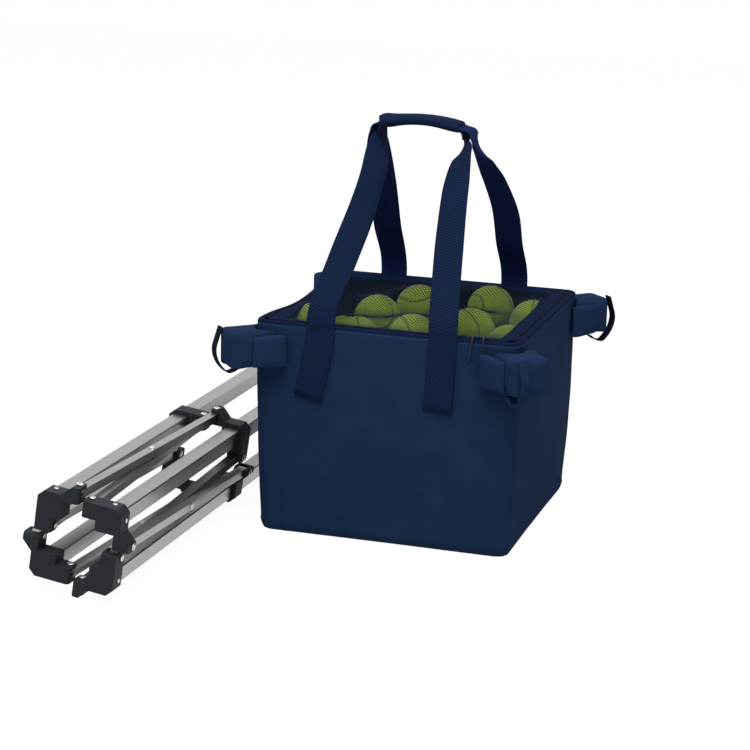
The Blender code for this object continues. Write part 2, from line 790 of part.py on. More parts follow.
def link_arm(offset):
    """A clevis arm along +X on the side that faces +Z, with its slot and its riveted pin."""
    layer = OUTER_LAYER if offset else INNER_LAYER
    low, high = layer - LINK_LAYER / 2 - EAR, layer + LINK_LAYER / 2 + EAR
    end = ARM_PIVOT + ARM_END_MARGIN
    root = BLOCK_HALF - FITTING_WALL
    if offset:
        shoulder = root + 0.003
        outline = (
            (root, low), (end, low), (end, high),
            (shoulder + OFFSET_RISE, high), (shoulder, BLOCK_HALF), (root, BLOCK_HALF),
        )
    else:
        outline = ((root, low), (end, low), (end, high), (root, high))
    arm = prism(outline, 0.0, FITTING_DEPTH)
    tips = [
        edge for edge in arm.edges
        if all(abs(vertex.co.x - end) < 1e-6 for vertex in edge.verts)
        and abs(edge.verts[0].co.y - edge.verts[1].co.y) < 1e-6
    ]
    bmesh.ops.bevel(
        arm, geom=tips, offset=0.005, offset_type="OFFSET", segments=3, profile=0.5,
        affect="EDGES", clamp_overlap=True,
    )
    slot = box(
        (ARM_PIVOT - LINK_WIDTH / 2 - 0.001, FITTING_PLATE, layer - LINK_LAYER / 2),
        (end + 0.01, FITTING_DEPTH + 0.01, layer + LINK_LAYER / 2),
    )
    head, sunk = RIVET_HEAD_HEIGHT, 0.0004
    pin = turned(
        (
            (RIVET_HEAD_RADIUS * 0.8, low - head), (RIVET_HEAD_RADIUS, low + sunk),
            (PIN_RADIUS, low + sunk), (PIN_RADIUS, high - sunk),
            (RIVET_HEAD_RADIUS, high - sunk), (RIVET_HEAD_RADIUS * 0.8, high + head),
        ),
        axis="Z",
    )
    moved(pin, (ARM_PIVOT, PIVOT_DEPTH, 0.0))
    return boolean_of(arm, [("DIFFERENCE", slot), ("UNION", pin)])


def mirror_corner(form):
    """Carries a shape from the side at +Z to the side at -X of the same corner."""
    for vertex in form.verts:
        x, y, z = vertex.co
        vertex.co = (-z, y, -x)
    bmesh.ops.recalc_face_normals(form, faces=form.faces)
    return form


def corner_fitting(slides):
    """The moulding on a leg: the fixed bracket at its top, or the slider below it."""
    chamfers = (0.002, 0.002, 0.002, FITTING_CHAMFER)
    form = prism(square_outline(BLOCK_HALF, chamfers), 0.0, FITTING_DEPTH)
    arm_next = link_arm(offset=not slides)
    arm_before = mirror_corner(link_arm(offset=slides))
    if slides:
        half = LEG_SIDE / 2 + SLIDER_CLEARANCE
        hole = box((-half, -0.01, -half), (half, FITTING_DEPTH + 0.01, half))
    else:
        half = LEG_SIDE / 2 + LEG_CLEARANCE
        hole = box((-half, FITTING_PLATE, -half), (half, FITTING_DEPTH + 0.01, half))
    form = boolean_of(form, [("UNION", arm_next), ("UNION", arm_before), ("DIFFERENCE", hole)])
    if slides:
        for vertex in form.verts:
            vertex.co.y = 2 * PIVOT_DEPTH - vertex.co.y
    return form


def leg():
    """A square tube, closed at its foot by the bush that the caster's stem turns in."""
    half, bore = LEG_SIDE / 2, LEG_SIDE / 2 - LEG_WALL
    form = prism(square_outline(half, (0.0015,) * 4), FITTING_PLATE + GAP, LEG_END)
    hollow = prism(square_outline(bore, (0.001,) * 4), 0.0, LEG_END - LEG_PLUG)
    radius = running_bore(CASTER_STEM_RADIUS)
    bush = turned(((radius, LEG_END - LEG_PLUG - 0.005), (radius, LEG_END + 0.005)))
    return boolean_of(form, [("DIFFERENCE", hollow), ("DIFFERENCE", bush)])


def link():
    """A flattened tube with round ends and three rivet holes, its top hole at the origin."""
    half = LINK_WIDTH / 2
    outline = []
    for start, level in ((math.pi, 0.0), (0.0, LINK_LENGTH)):
        for step in range(5):
            angle = start + math.pi * step / 4
            outline.append((half * math.cos(angle), level + half * math.sin(angle)))
    form = prism(outline, -LINK_THICKNESS / 2, LINK_THICKNESS / 2, axis="Z")
    hollow_half, hollow_z = half - LINK_WALL, LINK_THICKNESS / 2 - LINK_WALL
    hollow = box((-hollow_half, -0.02, -hollow_z), (hollow_half, LINK_LENGTH + 0.02, hollow_z))
    tools = [("DIFFERENCE", hollow)]
    radius = running_bore(PIN_RADIUS)
    for level in (0.0, LINK_LENGTH / 2, LINK_LENGTH):
        hole = turned(((radius, -LINK_THICKNESS), (radius, LINK_THICKNESS)), axis="Z")
        tools.append(("DIFFERENCE", moved(hole, (0.0, level, 0.0))))
    return boolean_of(form, tools)


def centre_rivet():
    """The rivet where two crossed links turn, drawn from the outer link's middle plane."""
    high = LINK_THICKNESS / 2 + GAP
    low = -LINK_LAYER - LINK_THICKNESS / 2 - GAP
    head, radius = RIVET_HEAD_HEIGHT, RIVET_HEAD_RADIUS
    return turned(
        (
            (radius * 0.8, low - head), (radius, low), (PIN_RADIUS, low),
            (PIN_RADIUS, high), (radius, high), (radius * 0.8, high + head),
        ),
        axis="Z",
    )


def caster_fork():
    """Stem, plate and two cheeks, drawn on the leg's axis with the trail along -Z."""
    plate_low = LEG_END + GAP
    stem = turned(
        (
            (CASTER_STEM_RADIUS, LEG_END - CASTER_STEM_LENGTH),
            (CASTER_STEM_RADIUS, plate_low),
            (CASTER_PLATE_RADIUS, plate_low),
            (CASTER_PLATE_RADIUS, LEG_END + CASTER_PLATE),
        )
    )
    root = LEG_END + CASTER_PLATE / 3
    points = [(CASTER_PLATE_RADIUS - 0.002, root), (0.004 - CASTER_PLATE_RADIUS, root)]
    for step in range(ROUND_STEPS):
        angle = 2 * math.pi * step / ROUND_STEPS
        points.append((
            -CASTER_TRAIL + AXLE_BOSS_RADIUS * math.cos(angle),
            AXLE_DEPTH + AXLE_BOSS_RADIUS * math.sin(angle),
        ))
    hull = geometry.convex_hull_2d([Vector(point) for point in points])
    outline = [(points[index][1], points[index][0]) for index in hull]
    inner = CASTER_WIDTH / 2 + 0.001
    tools = [
        ("UNION", prism(outline, side[0], side[1], axis="X"))
        for side in ((inner, inner + CHEEK), (-inner - CHEEK, -inner))
    ]
    radius = running_bore(AXLE_RADIUS)
    hole = bmesh.new()
    rings = []
    for level in (-0.03, 0.03):
        ring = []
        for step in range(ROUND_STEPS):
            angle = 2 * math.pi * step / ROUND_STEPS
            ring.append(hole.verts.new((
                level,
                AXLE_DEPTH + radius * math.cos(angle),
                -CASTER_TRAIL + radius * math.sin(angle),
            )))
        rings.append(ring)
    join_rings(hole, rings, closed_rings=True)
    hole.faces.new(rings[0])
    hole.faces.new(rings[1])
    return boolean_of(stem, [*tools, ("DIFFERENCE", hole)])


def along_x(form):
    """Lays a shape that was turned round Z along X."""
    for vertex in form.verts:
        x, y, z = vertex.co
        vertex.co = (z, x, y)
    return form


def caster_wheel():
    half, shoulder = CASTER_WIDTH / 2, 0.0025
    bore = running_bore(AXLE_RADIUS, WHEEL_STEPS)
    profile = (
        (bore, -half), (CASTER_RADIUS - shoulder, -half), (CASTER_RADIUS, -half + shoulder),
        (CASTER_RADIUS, half - shoulder), (CASTER_RADIUS - shoulder, half), (bore, half),
        (bore, -half),
    )
    return along_x(turned(profile, steps=WHEEL_STEPS, axis="Z"))


def caster_axle():
    reach = CASTER_WIDTH / 2 + 0.001 + CHEEK + GAP
    head = AXLE_RADIUS + 0.0018
    profile = (
        (head * 0.8, -reach - RIVET_HEAD_HEIGHT), (head, -reach), (AXLE_RADIUS, -reach),
        (AXLE_RADIUS, reach), (head, reach), (head * 0.8, reach + RIVET_HEAD_HEIGHT),
    )
    return along_x(turned(profile, axis="Z"))


# Assembly

def side_frame(index):
    """Stand frame of one side: X towards the next leg, Z outwards."""
    return Matrix.Rotation(math.radians(90 * index), 4, "Y")


def corner_frame(index):
    return side_frame(index) @ Matrix.Translation((-HALF_SPACING, 0.0, HALF_SPACING))


def link_pivot(side, outer, level):
    """Matrix at a link's top hole, centre or lower hole: level 0, 0.5 or 1."""
    start = -HALF_SPACING + ARM_PIVOT
    x, lean = (start, -SPREAD_ANGLE) if outer else (-start, SPREAD_ANGLE)
    layer = OUTER_LAYER if outer else INNER_LAYER
    top = Matrix.Translation((x, PIVOT_DEPTH, HALF_SPACING + layer))
    down = Matrix.Translation((0.0, LINK_LENGTH * level, 0.0))
    return side_frame(side) @ top @ Matrix.Rotation(lean, 4, "Z") @ down


def caster_turn(index):
    """How far each caster is turned from the stand's own down, about the leg."""
    hang = -STAND_ROLL
    if CORNERS[index] != "lower_right":
        return hang
    reach = CASTER_TRAIL + CASTER_RADIUS
    need = reach - LEG_SPACING * math.sin(STAND_ROLL)
    low, high = 0.0, math.pi / 2
    for _ in range(40):
        middle = (low + high) / 2
        depth = reach * math.cos(middle) + CASTER_WIDTH / 2 * math.sin(middle)
        low, high = (middle, high) if depth > need else (low, middle)
    return hang - low


def build_bag():
    bag = place_pivot("bag_frame", Matrix.Identity(4))
    names = ("bag_front", "bag_right", "bag_back", "bag_left")
    for side, name in enumerate(names):
        form = bag_panel(side)
        if side % 2 == 0:
            feet = FRONT_STRAP_X if side == 0 else BACK_STRAP_X
            form = boolean_of(form, [("UNION", sewn_strap(side, centre)) for centre in feet])
        place(name, finish_mesh(name, form, "navy_fabric", smooth=True), parent=bag)
    outline = []
    for side in range(4):
        for station in bag_stations()[1:]:
            point = side_point(side, station, 0.0, BAG_WALL + GAP * 2, bulged=False)
            outline.append((point.x, point.y))
    base = prism(outline, 0.0, BASE_THICKNESS, axis="Z")
    place("bag_base", finish_mesh("bag_base", base, "navy_fabric"), parent=bag)

    binding_low = BAG_HEIGHT - BINDING_HEIGHT
    binding = rim_band(0.0, BINDING_WIDTH, binding_low, BAG_HEIGHT)
    place("rim_binding", finish_mesh("rim_binding", binding, "navy_webbing", True), parent=bag)
    zip_low = BAG_HEIGHT - ZIP_THICKNESS
    zip_inset = BINDING_WIDTH + GAP
    tape = rim_band(zip_inset, ZIP_WIDTH, zip_low, BAG_HEIGHT, sides=(3, 0, 1))
    place("zip_tape", finish_mesh("zip_tape", tape, "dark_mesh", True), parent=bag)

    hinge_y = BAG_DEPTH / 2 - BINDING_WIDTH
    hinge_z = BAG_HEIGHT - LID_THICKNESS / 2
    lid = place_pivot("lid_hinge", Matrix.Translation((0.0, hinge_y, hinge_z)), bag)
    border_inset = zip_inset + ZIP_WIDTH + GAP
    border = rim_band(border_inset, LID_BORDER_WIDTH, BAG_HEIGHT - LID_THICKNESS, BAG_HEIGHT)
    lid_back = Matrix.Translation((0.0, -hinge_y, -hinge_z))
    place("lid_border", finish_mesh("lid_border", border, "navy_fabric", True), lid_back, lid)
    place("mesh_lid", finish_mesh("mesh_lid", mesh_lid(), "dark_mesh"), lid_back, lid)

    slider_mesh = finish_mesh("zip_slider", zip_slider(), "rivet_steel")
    slider_y = -(BAG_DEPTH / 2 - zip_inset - ZIP_WIDTH / 2)
    for name, x in zip(("zip_slider_left", "zip_slider_right"), ZIP_SLIDER_X):
        matrix = Matrix.Translation((x, slider_y, BAG_HEIGHT + GAP))
        place(name, slider_mesh, matrix, bag)

    for name, back_side in (("front_handle", False), ("back_handle", True)):
        y = (1 if back_side else -1) * (BAG_DEPTH / 2 + strap_out())
        pivot = place_pivot(name + "_hinge", Matrix.Translation((0.0, y, strap_foot())), bag)
        back_to = Matrix.Translation((0.0, -y, -strap_foot()))
        mesh = finish_mesh(name, handle(back_side), "navy_webbing", smooth=True)
        place(name, mesh, back_to, pivot)
        if not back_side:
            wrap = finish_mesh("grip_wrap", grip_wrap(), "navy_fabric", smooth=True)
            place("grip_wrap", wrap, back_to, pivot)

    pocket = finish_mesh("corner_pocket", corner_pocket(), "navy_fabric")
    loop = finish_mesh("pocket_loop", pocket_loop(), "black_webbing", smooth=True)
    corner_names = ("back_right", "back_left", "front_left", "front_right")
    for index, corner in enumerate(corner_names):
        turn = Matrix.Rotation(math.radians(90 * index), 4, "Z")
        place("corner_pocket_" + corner, pocket, turn, bag)
        place("pocket_loop_" + corner, loop, turn, bag)

    heap = finish_mesh("tennis_balls", ball_heap(), "ball_felt", smooth=True)
    place("tennis_balls", heap, parent=bag)


def build_stand():
    stand = place_pivot("stand_frame", Matrix.Identity(4))
    bracket_mesh = finish_mesh("top_bracket", corner_fitting(slides=False), "black_moulding")
    slider_mesh = finish_mesh("slider", corner_fitting(slides=True), "black_moulding")
    leg_mesh = finish_mesh("leg", leg(), "aluminium_tube")
    link_mesh = finish_mesh("link", link(), "aluminium_tube")
    rivet_mesh = finish_mesh("centre_rivet", centre_rivet(), "rivet_steel", smooth=True)
    fork_mesh = finish_mesh("caster_fork", caster_fork(), "black_moulding")
    wheel_mesh = finish_mesh("caster_wheel", caster_wheel(), "wheel_rubber", smooth=True)
    axle_mesh = finish_mesh("caster_axle", caster_axle(), "rivet_steel", smooth=True)

    for index, corner in enumerate(CORNERS):
        frame = corner_frame(index)
        place("top_bracket_" + corner, bracket_mesh, frame, stand)
        place("leg_" + corner, leg_mesh, frame, stand)
        lowered = frame @ Matrix.Translation((0.0, SLIDER_PIVOT - PIVOT_DEPTH, 0.0))
        place("slider_" + corner, slider_mesh, lowered, stand)
        swivel = Matrix.Translation(frame.translation) @ Matrix.Rotation(caster_turn(index), 4, "Y")
        place("caster_fork_" + corner, fork_mesh, swivel, stand)
        hub = swivel @ Matrix.Translation((0.0, AXLE_DEPTH, -CASTER_TRAIL))
        place("caster_wheel_" + corner, wheel_mesh, hub, stand)
        place("caster_axle_" + corner, axle_mesh, hub, stand)

    for index, side in enumerate(SIDES):
        place("outer_link_" + side, link_mesh, link_pivot(index, True, 0.0), stand)
        place("inner_link_" + side, link_mesh, link_pivot(index, False, 0.0), stand)
        place("centre_rivet_" + side, rivet_mesh, link_pivot(index, True, 0.5), stand)
    set_down(stand)


def lowest(stand, names):
    """Height of the lowest corner of some of the stand's pieces."""
    bpy.context.view_layer.update()
    heights = []
    for child in stand.children:
        if child.name.startswith(names):
            matrix = child.matrix_world
            heights += [(matrix @ vertex.co).z for vertex in child.data.vertices]
    return min(heights)


def set_down(stand):
    """Lays the folded stand on the floor, on one bracket arm and its lower casters."""
    turn = Matrix.Rotation(STAND_TURN, 4, "Z").inverted()
    roll = Matrix.Rotation(STAND_ROLL, 4, "Y")
    stand.matrix_local = turn @ roll
    front = lowest(stand, ("top_bracket_lower",))
    foot = lowest(stand, ("caster_wheel_lower_left", "caster_fork_lower_left"))
    tilt = Matrix.Rotation(math.atan2(front - foot, AXLE_DEPTH), 4, "X")
    stand.matrix_local = turn @ tilt @ roll
    height = -lowest(stand, ("top_bracket", "caster"))
    stand.matrix_local = Matrix.Translation((*STAND_FRONT, height)) @ stand.matrix_local


def build():
    clear_scene()
    for name in MATERIALS:
        make_material(name)
    build_bag()
    build_stand()
    bpy.context.view_layer.update()


build()
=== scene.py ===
"""Looks of the tennis ball cart: a full ball bag, and its folded stand lying at its left.

Metres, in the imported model's frame: X right along the bag's front, Y back, Z up.
"""

import math

import bmesh
import bpy
import numpy as np
from mathutils import Matrix, Vector, noise


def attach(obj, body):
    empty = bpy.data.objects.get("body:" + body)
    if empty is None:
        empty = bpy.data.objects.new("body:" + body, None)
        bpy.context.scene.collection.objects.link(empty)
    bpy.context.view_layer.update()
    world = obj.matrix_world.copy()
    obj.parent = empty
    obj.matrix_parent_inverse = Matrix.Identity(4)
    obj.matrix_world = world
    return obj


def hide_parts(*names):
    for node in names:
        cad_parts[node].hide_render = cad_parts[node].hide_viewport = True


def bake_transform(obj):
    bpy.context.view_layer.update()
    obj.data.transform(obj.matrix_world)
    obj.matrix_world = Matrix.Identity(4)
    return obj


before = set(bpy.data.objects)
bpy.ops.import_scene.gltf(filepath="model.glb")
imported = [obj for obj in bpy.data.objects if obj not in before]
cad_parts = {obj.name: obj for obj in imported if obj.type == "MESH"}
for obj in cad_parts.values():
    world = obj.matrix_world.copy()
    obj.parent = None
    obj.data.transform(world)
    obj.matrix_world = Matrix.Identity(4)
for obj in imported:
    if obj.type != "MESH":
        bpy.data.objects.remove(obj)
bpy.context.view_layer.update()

# The bag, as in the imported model
BAG_WIDTH = 0.363
BAG_DEPTH = 0.358
BAG_HEIGHT = 0.2935
BAG_CORNER = 0.018
LEAST_CORNER = 0.004
BAG_WALL = 0.003
BASE_TAPER = 0.035
PANEL_BULGE = 0.005
LEFT_RIM_SAG = 0.011
RIM_RADIUS = 0.0034
ZIP_INSET = 0.0063
ZIP_WIDTH = 0.009
LID_DROP = 0.0012  # of the zip and the lid's edge below the rim
BORDER_INSET = 0.0156
BORDER_WIDTH = 0.016
NET_INSET = 0.0312
NET_OVERLAP = 0.003  # of the net under its border
NET_LIFT = 0.0003
NET_PITCH = 0.0058
NET_THREAD = 0.0014
NET_FLATNESS = 0.3  # of a thread's height to its width
BALL_RADIUS = 0.0335

# Handles and grip
STRAP_WIDTH = 0.039
STRAP_THICKNESS = 0.0025
FRONT_STRAP_X = (-0.087, 0.080)
BACK_STRAP_X = (-0.095, 0.0865)
SEWN_LEAN = (-0.017, -0.003)  # how far each sewn end leans to the left at its foot
SEWN_LOW = 0.194
STRAP_FOOT = 0.2872
STRAP_OUT = 0.00155
GRIP_HEIGHT = 0.549
GRIP_CENTRE = -0.0045
GRIP_LENGTH = 0.108
GRIP_WIDTH = 0.047
GRIP_SLOPE = -0.02
GRIP_ARCH = 0.008
WEB_SPACING = 0.004
WEB_END = 0.003
UPRIGHT = 0.054
FRONT_LIMBS = (
    ((-0.0752, 0.745, 0.321), (-0.0622, 0.484, 0.574), (-0.0585, 0.310, 0.729), (-0.0620, 0.110, 0.845)),
    ((0.0709, 0.764, 0.300), (0.0645, 0.566, 0.500), (0.0590, 0.356, 0.688), (0.0545, 0.135, 0.825)),
)
BACK_LIMBS = (
    ((-0.0926, 0.727, 0.339), (-0.0860, 0.463, 0.591), (-0.0790, 0.160, 0.825)),
    ((0.0864, 0.783, 0.278), (0.0872, 0.570, 0.494), (0.0806, 0.403, 0.645), (0.0715, 0.190, 0.805)),
)
FRONT_BEND = ((0.0015, 0.008, 0.0145), (0.0018, 0.001, 0.0048))
BACK_BEND = ((0.0145, 0.008, 0.0135), (0.0100, 0.001, 0.0034))
LEFT_TURN = ((0.15, 0.0), (0.58, 0.50), (0.83, 0.72), (0.91, 1.0))
RIGHT_TURN = ((0.42, 0.0), (0.70, 0.22), (0.82, 0.52), (0.91, 1.0))

# Corner pockets and loops
ROOT2 = math.sqrt(2)
HALF_BAG = max(BAG_WIDTH, BAG_DEPTH) / 2
CORNER_MIDDLE = HALF_BAG - BAG_CORNER  # X and Y of the middle of the bag's round corner
POCKET_TOP = 0.2835
POCKET_HEIGHT = 0.052
POCKET_WIDTH = 0.054
POCKET_REACH = 0.298
POCKET_WALL = 0.0035
WING_LENGTH = 0.052
WING_THICKNESS = 0.0108
POCKET_STANDOFF = 0.0027
LOOP_WIDTH = 0.014
LOOP_THICKNESS = 0.0016

# Stand
HALF_SPACING = 0.040
ARM_PIVOT = 0.031
PIVOT_DEPTH = 0.016
SLIDER_DEPTH = 0.4156
FITTING_HALF = 0.017
OUTER_RISE = 0.0195  # of the outer links' middle above a leg's axis
LINK_LAYER = 0.013
EAR = 0.004
PIN_END = 0.0008  # of a pivot pin beyond an ear
RIVET_HEAD = (0.0047, 0.0016)  # radius and height
SCREW_HEAD = (0.0032, 0.0012)
SCREW_DEPTH = 0.0165
STAND_AXES = (
    Vector((0.99039, -0.01569, -0.13744)),
    Vector((0.01571, 0.99988, -0.00094)),
    Vector((0.13744, -0.00123, 0.99051)),
)
STAND_ORIGIN = Vector((-0.2895, -0.513, 0.07247))

# Light, and the camera as it took the photograph
LAMP_TARGET = (-0.1, 0.0, 0.15)
LAMPS = (  # name, place, size and power
    ("key", (0.3, -1.3, 2.7), (1.8, 1.8), 70.0),
    ("side", (-2.2, -0.9, 1.3), (1.2, 1.6), 6.0),
    ("back", (-2.6, 1.4, 1.3), (1.0, 1.0), 18.0),
)
CAMERA_PLACE = (0.8046, -2.8604, 0.9598)
CAMERA_ANGLES = (16.92, 14.52, 1.47)  # yaw, pitch and roll
CAMERA_LENS = 105.62


# Materials

def add_node(tree, kind, inputs=None, **settings):
    """A shader node with its settings, and its inputs as values or as sockets to link."""
    node = tree.nodes.new(kind)
    for name, value in settings.items():
        setattr(node, name, value)
    for name, value in (inputs or {}).items():
        if isinstance(value, bpy.types.NodeSocket):
            tree.links.new(value, node.inputs[name])
        else:
            node.inputs[name].default_value = value
    return node


def linear(level):
    """A colour's level of 0 to 255, as the linear value that shaders take."""
    share = level / 255
    return share / 12.92 if share <= 0.04045 else ((share + 0.055) / 1.055) ** 2.4


def new_material(name, roughness, metallic=0.0, sheen=0.0, specular=0.5):
    material = bpy.data.materials.new(name)
    material.use_nodes = True
    shader = material.node_tree.nodes["Principled BSDF"]
    values = {"Roughness": roughness, "Metallic": metallic, "Specular IOR Level": specular,
              "Sheen Weight": sheen, "Sheen Roughness": 0.6}
    for socket, value in values.items():
        shader.inputs[socket].default_value = value
    return material, material.node_tree, shader


def maths(tree, operation, first, second):
    return add_node(tree, "ShaderNodeMath", {0: first, 1: second}, operation=operation).outputs["Value"]


def weighted(tree, first, first_share, second, second_share):
    """The sum of two sockets, each times its share."""
    part = maths(tree, "MULTIPLY", first, first_share)
    return maths(tree, "ADD", part, maths(tree, "MULTIPLY", second, second_share))


def set_colour(tree, shader, colour, factor, low, high):
    """Varies the colour between a darker and a lighter shade of itself."""
    dark, light = ((*(linear(c) * share for c in colour), 1.0) for share in (low, high))
    mixed = add_node(tree, "ShaderNodeMixRGB", {"Fac": factor, "Color1": dark, "Color2": light})
    tree.links.new(mixed.outputs["Color"], shader.inputs["Base Color"])


def vary_roughness(tree, shader, factor, share):
    """Lets the roughness follow a factor, from a little below its plain value."""
    rough = shader.inputs["Roughness"]
    varied = maths(tree, "ADD", maths(tree, "MULTIPLY", factor, share), rough.default_value - 0.1)
    tree.links.new(varied, rough)


def bands(tree, vector, pitch, direction):
    """Stripes of a given pitch in metres."""
    scale = math.pi / 10 / pitch
    return add_node(
        tree, "ShaderNodeTexWave", {"Vector": vector, "Scale": scale}, bands_direction=direction,
    ).outputs["Fac"]


def add_bump(tree, shader, height, depth, below=None):
    inputs = {"Height": height, "Strength": 1.0, "Distance": depth}
    if below is not None:
        inputs["Normal"] = below
    bump = add_node(tree, "ShaderNodeBump", inputs)
    tree.links.new(bump.outputs["Normal"], shader.inputs["Normal"])
    return bump.outputs["Normal"]


def noise_of(tree, vector, scale, detail=3.0, roughness=0.55):
    return add_node(
        tree, "ShaderNodeTexNoise",
        {"Vector": vector, "Scale": scale, "Detail": detail, "Roughness": roughness},
    ).outputs["Fac"]


def woven_cloth(name, colour, roughness=0.80, pitch=0.0011, crease=0.0011):
    """Coated nylon: a fine plain weave over soft creases."""
    material, tree, shader = new_material(name, roughness, specular=0.015)
    coords = tree.nodes.new("ShaderNodeTexCoord")
    uv, place = coords.outputs["UV"], coords.outputs["Object"]
    set_colour(tree, shader, colour, noise_of(tree, place, 22.0, 4.0), 0.80, 1.22)
    creases = add_bump(tree, shader, noise_of(tree, place, 34.0, 2.0), crease)
    weave = maths(tree, "MULTIPLY", bands(tree, uv, pitch, "X"), bands(tree, uv, pitch, "Y"))
    add_bump(tree, shader, weave, 0.00016, creases)
    return material


def webbing(name, colour):
    """Ribbed web: slightly slanted ribs across it, from UVs in metres."""
    material, tree, shader = new_material(name, 0.82, specular=0.02)
    coords = tree.nodes.new("ShaderNodeTexCoord")
    parts = add_node(tree, "ShaderNodeSeparateXYZ", {"Vector": coords.outputs["UV"]})
    across, along = parts.outputs["X"], parts.outputs["Y"]
    slant, rib_pitch, cord_pitch = 0.35, 0.0040, 0.0024
    slanted = maths(tree, "ADD", along, maths(tree, "MULTIPLY", across, slant))
    rib_uv = add_node(tree, "ShaderNodeCombineXYZ", {"X": across, "Y": slanted})
    ribs = bands(tree, rib_uv.outputs["Vector"], rib_pitch, "Y")
    cords = bands(tree, coords.outputs["UV"], cord_pitch, "X")
    relief = weighted(tree, ribs, 0.75, cords, 0.25)
    # The colour follows the relief, darker in the grooves between ribs and cords and lighter on their
    # tops: painted shade in the grooves and painted highlight on the ribs
    set_colour(tree, shader, colour, relief, 0.66, 1.32)
    add_bump(tree, shader, relief, 0.0006)
    return material


def felt(name, colour):
    """Woolly felt: a fine fuzz over larger rubbed patches."""
    material, tree, shader = new_material(name, 0.95, sheen=0.3, specular=0.05)
    place = tree.nodes.new("ShaderNodeTexCoord").outputs["Object"]
    fuzz = noise_of(tree, place, 900.0, 4.0, 0.75)
    patches = noise_of(tree, place, 60.0, 3.0)
    set_colour(tree, shader, colour, weighted(tree, fuzz, 0.5, patches, 0.5), 0.72, 1.28)
    add_bump(tree, shader, fuzz, 0.0012)
    return material


def brushed_metal(name, colour, roughness, metallic, streak=(700.0, 6.0, 700.0)):
    """Satin metal with faint drawn lines along the legs' direction."""
    material, tree, shader = new_material(name, roughness, metallic)
    place = tree.nodes.new("ShaderNodeTexCoord").outputs["Object"]
    stretched = add_node(tree, "ShaderNodeMapping", {"Vector": place, "Scale": streak})
    lines = noise_of(tree, stretched.outputs["Vector"], 1.0, 3.0)
    smudges = noise_of(tree, place, 18.0, 3.0)
    set_colour(tree, shader, colour, weighted(tree, lines, 0.6, smudges, 0.4), 0.87, 1.12)
    vary_roughness(tree, shader, lines, 0.22)
    add_bump(tree, shader, lines, 0.00003)
    return material


def moulded(name, colour, roughness, grain=1500.0, depth=0.00012, specular=0.25):
    """Moulded plastic or rubber with a fine grain and slightly rubbed patches."""
    material, tree, shader = new_material(name, roughness, specular=specular)
    place = tree.nodes.new("ShaderNodeTexCoord").outputs["Object"]
    patches = noise_of(tree, place, 45.0, 4.0)
    set_colour(tree, shader, colour, patches, 0.78, 1.30)
    vary_roughness(tree, shader, patches, 0.2)
    add_bump(tree, shader, noise_of(tree, place, grain, 2.0), depth)
    return material


LOOKS = {
    "cloth": woven_cloth("navy_cloth", (29, 47, 75)),
    "lining": woven_cloth("dark_lining", (15, 24, 44), 0.85),
    "band": woven_cloth("band_cloth", (18, 29, 57), 0.82, 0.0009, 0.0006),
    "padding": woven_cloth("padded_cloth", (29, 46, 75), 0.78, 0.0011, 0.0008),
    "sleeve": woven_cloth("sleeve_cloth", (21, 34, 60), 0.80, 0.0009, 0.0007),
    "web": webbing("navy_web", (22, 35, 62)),
    # A bluer copy of the navy web, worn by the back handle: painted shade, standing in for the blue of
    # that web where it lies in shadow
    "back_web_painted_shade": webbing("back_web_painted_shade", (24, 38, 80)),
    "loop": webbing("black_web", (20, 24, 40)),
    "net": moulded("net_thread", (31, 41, 57), 0.75, 3000.0, specular=0.03),
    "felt": felt("ball_felt", (174, 201, 56)),
    "seam": moulded("ball_seam", (136, 152, 74), 0.8, 1200.0),
    "aluminium": brushed_metal("aluminium", (157, 157, 156), 0.30, 0.92),
    "steel": brushed_metal("rivet_steel", (200, 200, 198), 0.32, 0.9, (300.0,) * 3),
    "moulding": moulded("black_moulding", (37, 40, 45), 0.55, specular=0.12),
    "tyre": moulded("wheel_rubber", (40, 40, 42), 0.7, 900.0),
    "zip": moulded("zip_teeth", (16, 25, 48), 0.75, 2000.0, specular=0.03),
    "puller": moulded("zip_metal", (26, 33, 52), 0.5, 900.0, specular=0.15),
}


# Meshes

def add_object(name, data):
    obj = bpy.data.objects.new(name, data)
    bpy.context.scene.collection.objects.link(obj)
    return obj


def make_piece(name, points, faces, look, body, uvs=None, smooth=True, slot=None):
    """A mesh object that rides on a body; uvs has one pair for each point, in metres."""
    mesh = bpy.data.meshes.new(name)
    mesh.from_pydata([tuple(point) for point in points], [], [tuple(face) for face in faces])
    mesh.update()
    form = bmesh.new()
    form.from_mesh(mesh)
    bmesh.ops.recalc_face_normals(form, faces=form.faces)
    form.to_mesh(mesh)
    form.free()
    if uvs is not None:
        layer = mesh.uv_layers.new(name="metres")
        order = np.empty(len(mesh.loops), int)
        mesh.loops.foreach_get("vertex_index", order)
        layer.data.foreach_set("uv", np.asarray(uvs, np.float32)[order].ravel())
    mesh.materials.append(LOOKS[look])
    if smooth:
        mesh.shade_smooth()
    obj = add_object(name, mesh)
    if body is not None:
        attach(obj, body)
    return obj


def loft_faces(rings, count, closed_path=False):
    """Quads between closed rings of count points each."""
    faces = []
    for ring in range(rings if closed_path else rings - 1):
        here, after = ring * count, ((ring + 1) % rings) * count
        for index in range(count):
            following = (index + 1) % count
            faces.append((here + index, here + following, after + following, after + index))
    return faces


def close_ends(faces, rings, count):
    """Adds a face over the first ring and one over the last."""
    faces.append(tuple(range(count)))
    faces.append(tuple(range((rings - 1) * count, rings * count)))


def lengths_along(path):
    """The length of a path up to each of its points."""
    return np.cumsum([0.0] + [(end - start).length for start, end in zip(path, path[1:])])


